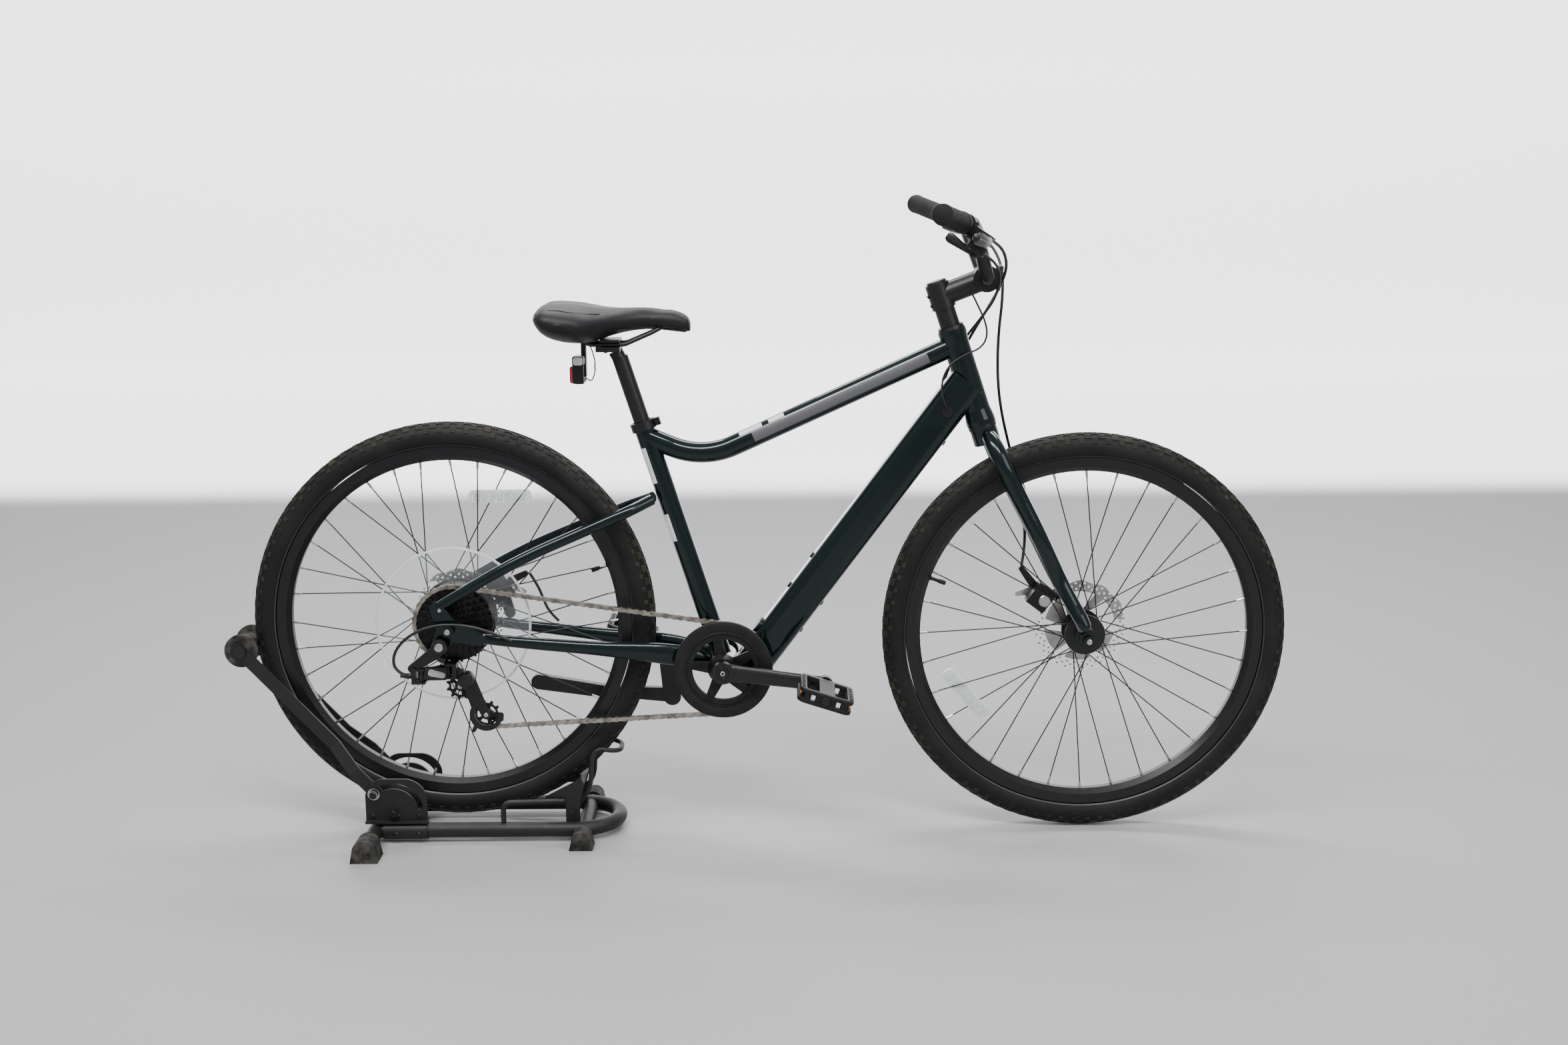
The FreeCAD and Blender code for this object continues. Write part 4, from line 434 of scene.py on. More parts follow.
def makeMaterials():
    black, white = (0, 0, 0), (1, 1, 1)
    paint = Recipe("deepGreenPaint", (0.0012, 0.007, 0.007), 0.3, 0.35)
    flake = paint.ramp(paint.cells(2600), (0.003, 0.02, 0.02), (0.0008, 0.0052, 0.0052),
                       0.0, 0.55)
    paint.tint(flake).rough(60, 0.24, 0.34)
    paint.set("Coat Weight", 1.0).set("Coat Roughness", 0.03)
    paint.set("Specular IOR Level", 0.12).set("Coat IOR", 1.36)
    paint.bump(paint.noise(420, 1.0), 0.02, 0.0002)

    satin = Recipe("satinBlackMetal", (0.0065, 0.0065, 0.0072), 0.36, 0.2)
    satin.mottle(120, 0.15).rough(260, 0.32, 0.46)
    satin.bump(satin.noise(1500, 2.0), 0.05, 0.0002)

    anodised = Recipe("blackAnodised", (0.008, 0.008, 0.009), 0.34, 0.3)
    anodised.rough(180, 0.28, 0.42).bump(anodised.noise(900, 2.0), 0.04, 0.0002)

    plastic = Recipe("blackPlastic", (0.0075, 0.0075, 0.008), 0.48)
    plastic.mottle(60, 0.2).rough(300, 0.42, 0.58).set("Specular IOR Level", 0.28)
    plastic.bump(plastic.noise(2200, 2.0), 0.12, 0.0002)

    tyre = Recipe("tyreRubber", (0.007, 0.007, 0.007), 0.6)
    dusty = tyre.ramp(tyre.noise(14, 6.0), black, white, 0.45, 0.8)
    tyre.tint(tyre.mixed((0.006, 0.006, 0.006), (0.013, 0.0125, 0.0115), dusty))
    tyre.rough(90, 0.5, 0.72).bump(tyre.noise(1800, 3.0), 0.18, 0.0003)
    tyre.set("Specular IOR Level", 0.24)

    tread = Recipe("treadRubber", (0.012, 0.011, 0.009), 0.7)
    worn = tread.ramp(tread.noise(22, 6.0), black, white, 0.4, 0.7)
    tread.tint(tread.mixed((0.009, 0.0085, 0.007), (0.034, 0.029, 0.019), worn))
    tread.bump(tread.noise(1500, 3.0), 0.25, 0.0004).set("Specular IOR Level", 0.22)

    grip = Recipe("gripRubber", (0.006, 0.006, 0.006), 0.64)
    grip.mottle(40, 0.2).bump(grip.cells(420), 0.5, 0.0006).set("Specular IOR Level", 0.22)

    foot = Recipe("dustyFootRubber", (0.05, 0.045, 0.04), 0.8)
    dust = foot.ramp(foot.noise(70, 8.0), black, white, 0.38, 0.7)
    foot.tint(foot.mixed((0.012, 0.0115, 0.011), (0.07, 0.064, 0.057), dust))
    foot.bump(foot.noise(700, 4.0), 0.3, 0.0006).set("Specular IOR Level", 0.22)

    vinyl = Recipe("saddleVinyl", (0.0075, 0.0075, 0.0085), 0.46)
    vinyl.mottle(35, 0.15).rough(120, 0.42, 0.56).set("Specular IOR Level", 0.3)
    vinyl.bump(vinyl.cells(900), 0.22, 0.0004).bump(vinyl.noise(60, 4.0), 0.08, 0.001)

    steel = Recipe("brightSteel", (0.52, 0.51, 0.49), 0.26, 1.0)
    steel.rough(400, 0.2, 0.36, (1, 1, 4)).bump(steel.noise(700, 2.0), 0.05, 0.0002)

    rotor = Recipe("rotorSteel", (0.43, 0.42, 0.4), 0.3, 1.0)
    rotor.mottle(50, 0.12).rough(240, 0.24, 0.42)

    chain = Recipe("chainSteel", (0.3, 0.265, 0.215), 0.34, 1.0)
    oily = chain.ramp(chain.noise(90, 5.0), (0.2, 0.18, 0.15), (0.5, 0.46, 0.4), 0.35, 0.68)
    chain.tint(oily).rough(300, 0.26, 0.46)

    cog = Recipe("cogSteel", (0.02, 0.0195, 0.019), 0.32, 0.8)
    cog.mottle(45, 0.35).rough(200, 0.3, 0.5)

    powder = Recipe("standPowderCoat", (0.007, 0.007, 0.0075), 0.5, 0.1)
    settled = powder.ramp(powder.noise(24, 7.0), black, white, 0.42, 0.78)
    clean = (0.0065, 0.0065, 0.007)
    dusted = powder.mixed(clean, (0.03, 0.028, 0.025), settled)
    powder.tint(powder.mixed(clean, dusted, powder.facing((0, 0, 1), 0.2, 1.0)))
    powder.bump(powder.noise(1300, 2.0), 0.16, 0.0003).rough(90, 0.48, 0.64)

    housing = Recipe("cableHousing", (0.005, 0.005, 0.0055), 0.4)
    housing.rough(200, 0.34, 0.48)

    orange = Recipe("orangeReflector", (0.85, 0.22, 0.02), 0.22)
    orange.mottle(300, 0.12).bump(orange.cells(420), 0.6, 0.0008)
    orange.set("Coat Weight", 1.0)

    clear = Recipe("clearReflector", (0.82, 0.84, 0.85), 0.14)
    clear.mottle(260, 0.1).bump(clear.cells(430), 0.7, 0.001)
    clear.set("Coat Weight", 1.0).set("Transmission Weight", 0.35)

    lens = Recipe("redLens", (0.36, 0.006, 0.008), 0.16)
    lens.mottle(180, 0.15).bump(lens.cells(360), 0.5, 0.0008)
    lens.set("Coat Weight", 1.0)

    film = Recipe("clearGuard", (0.75, 0.78, 0.8), 0.12)
    film.set("Alpha", 0.06).rough(60, 0.08, 0.2)

    sticker = Recipe("blankSticker", (0.74, 0.75, 0.74), 0.35)
    sticker.mottle(30, 0.05)

    stripe = Recipe("greyStripe", (0.085, 0.083, 0.095), 0.42)
    stripe.mottle(500, 0.1).set("Coat Weight", 0.4).set("Coat IOR", 1.36)

    # painted light: the floor far behind the stand and the wall glow by emission and turn paler;
    # darker near the stand
    floor = Recipe("glowingBackdropFloor", (0.5, 0.5, 0.5), 0.6)
    parts = floor.tree.nodes.new("ShaderNodeSeparateXYZ")
    floor.link(floor.coords.outputs["Object"], parts.inputs["Vector"])
    rise = floor.tree.nodes.new("ShaderNodeMapRange")
    rise.interpolation_type = "SMOOTHSTEP"
    rise.inputs["From Min"].default_value = 1.15  # painted light: paler and glowing far behind the stand, standing in for light on the backdrop
    rise.inputs["From Max"].default_value = 1.75
    rise.inputs["To Max"].default_value = 2.1
    floor.link(parts.outputs["Y"], rise.inputs["Value"])
    floor.link(rise.outputs["Result"], floor.shader.inputs["Emission Strength"])
    floor.set("Emission Color", (0.97, 0.98, 1.0, 1))
    floor.tint(floor.ramp(rise.outputs["Result"], (0.36, 0.36, 0.365), (0.9, 0.9, 0.9),
                          0.0, 1.0))
    floor.bump(floor.noise(40, 4.0), 0.02, 0.002)

    spoke = Recipe("spokeBlack", (0.004, 0.004, 0.0045), 0.42, 0.1)
    spoke.mottle(50, 0.2).rough(160, 0.36, 0.5)

    line = Recipe("sidewallLine", (0.02, 0.02, 0.02), 0.45)
    line.mottle(90, 0.15)

    made = dict(paint=paint, satin=satin, anodised=anodised, plastic=plastic, tyre=tyre,
                tread=tread, grip=grip, foot=foot, vinyl=vinyl, steel=steel, rotor=rotor,
                chain=chain, cog=cog, powder=powder, housing=housing, orange=orange,
                clear=clear, lens=lens, film=film, sticker=sticker, stripe=stripe,
                floor=floor, line=line, spoke=spoke)
    return {name: recipe.material for name, recipe in made.items()}


mats = makeMaterials()
print("materials made:", len(mats))

cadFinish = {
    "paint": ("head_tube", "top_tube", "down_tube", "seat_tube", "bottom_bracket_shell",
              "rear_triangle", "fork"),
    "satin": ("headset_cups", "stem", "handlebar", "seatpost", "crank_arms", "kickstand_leg",
              "lever_clamps", "right_brake_lever", "left_brake_lever", "rear_hub", "front_hub"),
    "anodised": ("front_rim", "rear_rim", "front_caliper", "rear_caliper", "frame_fittings",
                 "derailleur_knuckle", "derailleur_outer_link", "derailleur_inner_link",
                 "derailleur_carrier", "derailleur_cage", "front_axle", "rear_axle"),
    "plastic": ("battery", "tail_light", "chain_guard", "right_pedal", "left_pedal",
                "guide_pulley", "tension_pulley", "shifter_paddle"),
    "spoke": ("front_spokes", "rear_spokes"),
    "foot": ("stand_feet", "stand_roller"),
    "powder": ("stand_base", "stand_brackets", "stand_arms", "stand_hoop"),
    "steel": ("front_caliper_arm", "rear_caliper_arm"),
    "cog": ("cassette", "chainring"),
    "grip": ("grips",),
}
for finish, names in cadFinish.items():
    for name in names:
        nodes[name].data.materials.clear()
        nodes[name].data.materials.append(mats[finish])


# ---- camera, light and floor

view = {"at": (581, -3184, 1137), "yaw": -0.414, "pitch": 10.773, "roll": 0.514,
        "focal": 2898.0, "width": 2352.0, "sensor": 36.0}
stageShape = {"size": 14, "shift": 2, "wallHeight": 7, "corner": 1.6}
lightPlaces = (("keyLight", (-0.7, -1.7, 3.2), (3.4, 0.5), 150),
               ("fillLight", (2.4, -2.6, 2.4), (2.2, 2.2), 55),
               ("rimLight", (0.4, 1.6, 3.4), (3.4, 0.5), 120))


def setScene():
    yaw, pitch, roll = (math.radians(view[key]) for key in ("yaw", "pitch", "roll"))
    forward = Vector((math.sin(yaw) * math.cos(pitch), math.cos(yaw) * math.cos(pitch),
                      -math.sin(pitch)))
    right = Vector((math.cos(yaw), -math.sin(yaw), 0))
    down = forward.cross(right)
    right, down = (math.cos(roll) * right + math.sin(roll) * down,
                   math.cos(roll) * down - math.sin(roll) * right)
    lens = bpy.data.cameras.new("camera")
    lens.sensor_width = view["sensor"]
    lens.lens = view["sensor"] * view["focal"] / view["width"]
    lens.clip_end = 50
    camera = bpy.data.objects.new("camera", lens)
    bpy.context.scene.collection.objects.link(camera)
    turn = Matrix((right, -down, -forward)).transposed()
    camera.matrix_world = Matrix.Translation(at(*view["at"])) @ turn.to_4x4()
    bpy.context.scene.camera = camera

    deselectAll()
    bpy.ops.mesh.primitive_plane_add(size=stageShape["size"],
                                     location=(0, stageShape["shift"], -0.0006))
    floor = bpy.context.object
    floor.name = "floor"
    bpy.ops.object.mode_set(mode="EDIT")
    bpy.ops.mesh.select_all(action="DESELECT")
    bpy.ops.mesh.select_mode(type="EDGE")
    mesh = bmesh.from_edit_mesh(floor.data)
    for edge in mesh.edges:
        edge.select = all(vertex.co.y > 6 for vertex in edge.verts)
    bmesh.update_edit_mesh(floor.data)
    bpy.ops.mesh.extrude_region_move(
        TRANSFORM_OT_translate={"value": (0, 0, stageShape["wallHeight"])})
    bpy.ops.object.mode_set(mode="OBJECT")
    floor.data.materials.append(mats["floor"])
    addBevel(floor, stageShape["corner"], 12)
    smooth(floor, 60)

    world = bpy.data.worlds.new("softRoom")
    world.use_nodes = True
    sky = world.node_tree.nodes["Background"]
    sky.inputs["Color"].default_value = (0.9, 0.93, 0.96, 1)
    sky.inputs["Strength"].default_value = 0.5
    bpy.context.scene.world = world
    for name, place, size, power in lightPlaces:
        light = bpy.data.lights.new(name, "AREA")
        light.shape = "RECTANGLE"
        light.size, light.size_y = size
        light.energy = power
        lamp = bpy.data.objects.new(name, light)
        bpy.context.scene.collection.objects.link(lamp)
        aim = Vector((0, 0, 0.5)) - Vector(place)
        lamp.matrix_world = (Matrix.Translation(place)
                             @ aim.to_track_quat("-Z", "Y").to_matrix().to_4x4())
    print("camera, light and floor set")


# ---- wheels

# each row of tread blocks: lean in degrees, width, length, stagger along the row
tyreShape = {"sectionRadius": 23.5, "carcassRadius": 22.3, "blocks": 92, "blockHeight": 2.0,
             "profileSteps": 13, "profileStep": 10.2,
             "rows": ((0, 4.6, 11.0, 0.0), (17, 5.2, 12.5, 0.5), (-17, 5.2, 12.5, 0.5),
                      (38, 8.5, 12.5, 0.0), (-38, 8.5, 12.5, 0.0), (62, 7.0, 8.0, 0.5),
                      (-62, 7.0, 8.0, 0.5)),
             "line": ((301.2, 17.2), (303.4, 18.9), (303.6, 18.4), (301.4, 16.7), (301.2, 17.2))}


def makeTyre(end, hub):
    section = tyreShape["sectionRadius"]
    carcass = tyreShape["carcassRadius"]
    ringRadius = tyreRadius * 1000 - section
    profile = []
    for step in range(-tyreShape["profileSteps"], tyreShape["profileSteps"] + 1):
        turn = math.radians(step * tyreShape["profileStep"])
        profile.append((ringRadius + carcass * math.cos(turn), carcass * math.sin(turn)))
    body = turned(end + "Tyre", profile, hub, steps=160)
    body.data.materials.append(mats["tyre"])

    lugs = []
    pitch = 2 * math.pi / tyreShape["blocks"]
    for lean, width, length, stagger in tyreShape["rows"]:
        turn = math.radians(lean)
        reach = section - 1.0
        lug = block("lug", (tyreShape["blockHeight"], width, length),
                    Vector(((ringRadius + reach * math.cos(turn)) / 1000,
                            reach * math.sin(turn) / 1000, 0)),
                    Matrix.Rotation(turn, 3, "Z"), 0.5, 1)
        lug.data.transform(Matrix.Rotation(pitch * stagger, 4, "Y"))
        lugs.append(lug)
    lugs = join(lugs, end + "Lugs")
    lugs.data.transform(Matrix.Translation(hub))
    aroundWheel(lugs, tyreShape["blocks"], hub)
    smooth(lugs, 30)
    lugs.data.materials.clear()
    lugs.data.materials.append(mats["tread"])

    stripes = [turned("stripe", [(radius, side * along) for radius, along in tyreShape["line"]],
                      hub, steps=120) for side in (-1, 1)]
    stripe = join(stripes, end + "TyreLine")
    finishPiece(body, None, end + "_wheel", "tyre_rubber", end + "_tyre")
    finishPiece(lugs, None, end + "_wheel", "tyre_rubber")
    finishPiece(stripe, mats["line"], end + "_wheel", "tyre_rubber")


nippleShape = {"tipRadius": 276.0, "tipSpread": 3.0, "crossing": 1.45, "layer": 1.1,
               "profile": ((0, 0), (2.1, 0), (2.1, 9), (1.5, 12.5), (0, 12.5))}


def makeNipples(end, hub, count, rootRadius, rootYs):
    # each nipple points along its spoke, from the rim to the hub's flange
    shape = nippleShape
    half = count // 2
    step = 2 * math.pi / half
    made = []
    for number in range(4):
        side = number % 2
        turn = (number // 2) * step + side * step / 2
        trail = step * shape["crossing"] * (1 if (number // 2) % 2 else -1)
        layer = math.copysign(shape["layer"], trail)
        root = Vector((rootRadius * math.cos(turn + trail), rootYs[side] + layer,
                       rootRadius * math.sin(turn + trail))) / 1000
        tip = Vector((shape["tipRadius"] * math.cos(turn),
                      math.copysign(shape["tipSpread"], rootYs[side]) + layer,
                      shape["tipRadius"] * math.sin(turn))) / 1000
        run = (tip - root).normalized()
        made.append(turned("nipple", shape["profile"], hub + tip, -run, steps=8))
    nipples = join(made, end + "Nipples")
    aroundWheel(nipples, half // 2, hub)
    smooth(nipples)
    finishPiece(nipples, mats["steel"], end + "_wheel", "steel")


rotorShape = {"radius": 78.2, "wave": 1.7, "waves": 12, "thickness": 1.7,
              "holeRows": (75.0, 69.8, 64.9), "holes": 30, "holeRadius": 2.0, "arms": 6,
              "windowOut": 60.2, "windowIn": 27.5, "bore": 18.0, "bolts": 6, "boltCircle": 0.022}


def makeRotor(end, hub, plane):
    shape = rotorShape
    outlines = [ringOutline(shape["radius"], 144, wave=shape["wave"], waves=shape["waves"])]
    for row, radius in enumerate(shape["holeRows"]):
        for number in range(shape["holes"]):
            turn = 2 * math.pi * (number + row * 0.5) / shape["holes"]
            spot = (radius * math.cos(turn), radius * math.sin(turn))
            outlines.append(ringOutline(shape["holeRadius"], 8, spot))
    for number in range(shape["arms"]):
        base = 2 * math.pi * number / shape["arms"]
        window = [(shape["windowOut"], base + math.radians(5 + share * 5.4)) for share in range(9)]
        window += [(shape["windowIn"], base + math.radians(62 - share * 6.4)) for share in range(7)]
        outlines.append([(r * math.cos(t), r * math.sin(t)) for r, t in window])
    outlines.append(ringOutline(shape["bore"], 32))
    middle = Vector((hub.x, plane, hub.z))
    disc = sheetShape(end + "Rotor", outlines, shape["thickness"], upright(middle))
    carrier = []
    for number in range(shape["bolts"]):
        turn = 2 * math.pi * number / shape["bolts"] + 0.25
        for side in (-1, 1):
            spot = onCircle(hub, shape["boltCircle"], turn, plane + side * 0.0016)
            carrier.append(turned("rotorBolt", [(0, side * 1.4), (2.2, side * 1.4),
                                                (2.6, side * -0.6), (0, side * -0.6)],
                                  spot, steps=12))
    carrier.append(turned("rotorSeat", [(10.4, -0.8), (19.0, -0.8), (19.0, 0.8), (10.4, 0.8),
                                        (10.4, -0.8)], middle, steps=48))
    join(carrier, end + "RotorBolts")
    finishPiece(carrier[0], mats["anodised"], end + "_wheel", "black_metal")
    finishPiece(disc, mats["rotor"], end + "_wheel", "steel", end + "_rotor")


reflectorShape = {"long": 104.0, "tall": 21.0, "corner": 8.0, "thickness": 6.0,
                  "facet": (9.5, 14.5, 8.6), "facetPitch": 0.0128}


def makeReflector(end, centre, tilt):
    shape = reflectorShape
    place = upright(centre, tilt)
    face = sheetShape(end + "Reflector",
                      [roundedOutline(shape["long"], shape["tall"], shape["corner"])],
                      shape["thickness"], place, bevel=0.8)
    facets = [block("facet", shape["facet"],
                    place @ Vector((number * shape["facetPitch"], 0, 0)), place.to_3x3(), 0.7, 1)
              for number in range(-3, 4)]
    face = join([face] + facets, end + "Reflector")
    finishPiece(face, mats["clear"], end + "_wheel", "steel")


def makeValve(end, hub, angle):
    turn = math.radians(angle)
    inward = -Vector((math.cos(turn), 0, math.sin(turn)))
    root = hub - inward * 0.2765
    valve = turned(end + "Valve", [(0, 0), (4.4, 0), (4.4, 2.2), (3.1, 2.8), (3.1, 16),
                                   (3.9, 16.4), (3.9, 27), (3.2, 28.5), (0, 28.5)],
                   root, inward, steps=20)
    finishPiece(valve, mats["plastic"], end + "_wheel", "pedal_plastic")


def makeSpokeGuard():
    place = Vector((rearHub.x, -0.0222, rearHub.z))
    guard = turned("spokeGuard", [(70, 0.5), (128, 0.5), (128, -0.5), (70, -0.5), (70, 0.5)],
                   place, steps=96)
    finishPiece(guard, mats["film"], "rear_wheel", "pedal_plastic")
    edge = turned("spokeGuardEdge", [(127.4, 0.9), (130.2, 1.3), (131.4, 0.3), (130.2, -1.1),
                                     (127.4, -0.9), (127.4, 0.9)], place, steps=96)
    finishPiece(edge, mats["clear"], "rear_wheel", "pedal_plastic")


def makeHubDetails():
    pieces = []
    for side, plane in ((-1, -0.0177), (1, 0.0362)):
        for number in range(9):
            turn = 2 * math.pi * number / 9 + 0.2
            pieces.append(turned("coverBolt", [(0, 1.6), (2.0, 1.6), (2.9, 0.8), (2.9, -0.4),
                                               (0, -0.4)],
                                 onCircle(rearHub, 0.055, turn, plane), Vector((0, side, 0)),
                                 steps=12))
    pieces.append(turned("motorRib", [(62.0, -6), (62.8, -5), (62.8, 14), (62.0, 15)],
                         Vector((rearHub.x, 0.004, rearHub.z)), steps=72))
    rib = join(pieces, "motorCover")
    finishPiece(rib, mats["anodised"], "rear_wheel", "black_metal")


# ---- chain

chainRun = {"pitch": 12.7, "ringTeeth": 38, "cogTeeth": 32, "pulleyTeeth": 11,
            "ringPlane": -0.048, "plate": 0.8, "waist": 2.9, "plateEnd": 4.1}


def pitchRadius(teeth):
    return chainRun["pitch"] / 2 / math.sin(math.pi / teeth)


def chainPath():
    # round the sprocket, the chainring and the two pulleys, as drawn in the frame
    cogY = centreOf("guide_pulley").y
    cog, ring, pulley = (pitchRadius(chainRun[teeth]) / 1000
                         for teeth in ("cogTeeth", "ringTeeth", "pulleyTeeth"))
    guide, tension = centreOf("guide_pulley"), centreOf("tension_pulley")
    wheels = [(rearHub, cog, -1, cogY), (crankHub, ring, -1, chainRun["ringPlane"]),
              (tension, pulley, -1, cogY), (guide, pulley, 1, cogY)]
    runs = []
    for number, (centre, radius, sense, _) in enumerate(wheels):
        other, otherRadius, otherSense, _ = wheels[(number + 1) % 4]
        gapX, gapZ = other.x - centre.x, other.z - centre.z
        length = math.hypot(gapX, gapZ)
        heading = (math.atan2(gapZ, gapX)
                   - math.asin((otherSense * otherRadius - sense * radius) / length))
        left = (-math.sin(heading), math.cos(heading))
        runs.append(((centre.x - sense * radius * left[0], centre.z - sense * radius * left[1]),
                     (other.x - otherSense * otherRadius * left[0],
                      other.z - otherSense * otherRadius * left[1])))
    path = []
    for number, (centre, radius, sense, plane) in enumerate(wheels):
        arrive, leave = runs[number - 1][1], runs[number][0]
        first = math.atan2(arrive[1] - centre.z, arrive[0] - centre.x)
        last = math.atan2(leave[1] - centre.z, leave[0] - centre.x)
        sweep = (last - first) * sense % (2 * math.pi) * sense
        steps = max(6, int(abs(sweep) * radius / 0.002))
        for step in range(steps):
            turn = first + sweep * step / steps
            path.append(onCircle(centre, radius, turn, plane))
        start = Vector((leave[0], plane, leave[1]))
        end = Vector((runs[number][1][0], wheels[(number + 1) % 4][3], runs[number][1][1]))
        steps = max(4, int((end - start).length / 0.004))
        path += [start.lerp(end, step / steps) for step in range(steps)]
    return path


def pointsAlong(path, count):
    lengths = [0.0]
    for a, b in zip(path, path[1:] + path[:1]):
        lengths.append(lengths[-1] + (b - a).length)
    total = lengths[-1]
    points = []
    index = 0
    for number in range(count):
        target = total * number / count
        while lengths[index + 1] < target:
            index += 1
        share = (target - lengths[index]) / (lengths[index + 1] - lengths[index])
        points.append(path[index].lerp(path[(index + 1) % len(path)], share))
    return points, total


def linkPlate(name, offset):
    half = chainRun["pitch"] / 2
    outline = []
    for sense, first in ((1, -108), (-1, 72)):
        for step in range(9):
            turn = math.radians(first + step * 27)
            outline.append((sense * half + chainRun["plateEnd"] * math.cos(turn),
                            chainRun["plateEnd"] * math.sin(turn)))
        outline.append((0, sense * chainRun["waist"]))
    return sheetShape(name, [outline], chainRun["plate"], upright(Vector((0, offset / 1000, 0))))


def linkModel(name, offset, pin, radius, reach, steps):
    half = chainRun["pitch"] / 2000
    plates = [linkPlate(name, side * offset) for side in (-1, 1)]
    pins = [turned(pin, [(0, -reach), (radius, -reach), (radius, reach), (0, reach)],
                   Vector((side * half, 0, 0)), steps=steps) for side in (1, -1)]
    return join(plates + pins, name)


def makeChain():
    path = chainPath()
    total = pointsAlong(path, 4)[1]
    count = int(round(total * 1000 / chainRun["pitch"] / 2)) * 2
    points = pointsAlong(path, count)[0]
    outer = linkModel("outerLink", 3.1, "rivet", 1.8, 3.6, 8)
    inner = linkModel("innerLink", 2.25, "roller", 3.8, 1.8, 10)
    links = []
    for number in range(count):
        here, after = points[number], points[(number + 1) % count]
        run = (after - here).normalized()
        side = across - run * across.dot(run)
        side.normalize()
        turn = Matrix((run, side, run.cross(side))).transposed().to_4x4()
        model = outer if number % 2 else inner
        links.append(copyOf(model, "link", Matrix.Translation((here + after) / 2) @ turn))
    for model in (outer, inner):
        bpy.data.objects.remove(model)
    chain = join(links, "chainLinks")
    finishPiece(chain, mats["chain"], "frame", "steel", "chain")
    print("chain made:", count, "links")


# ---- derailleur

pulleyShape = {"teeth": 11, "root": 19.4, "tip": 24.2, "hub": 8.0, "windowOut": 16.2,
               "width": 2.6, "windows": 5}


def makePulley(node, name):
    shape = pulleyShape
    outline = []
    for tooth in range(shape["teeth"]):
        for share, reach in ((-0.5, "root"), (-0.27, "root"), (-0.1, "tip"), (0.1, "tip"),
                             (0.27, "root")):
            turn = 2 * math.pi * (tooth + share) / shape["teeth"]
            outline.append((shape[reach] * math.cos(turn), shape[reach] * math.sin(turn)))
    outlines = [outline]
    for window in range(shape["windows"]):
        base = 360 / shape["windows"] * window
        outlines.append(arcOutline(shape["hub"] + 1.5, shape["windowOut"], base + 12, base + 60,
                                   6))
    centre = centreOf(node)
    wheel = sheetShape(name, outlines, shape["width"] - 0.6, upright(centre), bevel=0.3)
    hub = turned("pulleyHub", [(3.2, -3.4), (6.2, -3.4), (6.8, -2.4), (6.8, 2.4), (6.2, 3.4),
                               (3.2, 3.4), (3.2, -3.4)], centre, steps=32)
    lip = turned("pulleyLip", [(16.6, -1.9), (18.6, -1.9), (19.0, 0), (18.6, 1.9), (16.6, 1.9),
                               (16.2, 0), (16.6, -1.9)], centre, steps=48)
    finishPiece(join([wheel, hub, lip], name), mats["plastic"], node, "pedal_plastic", node)


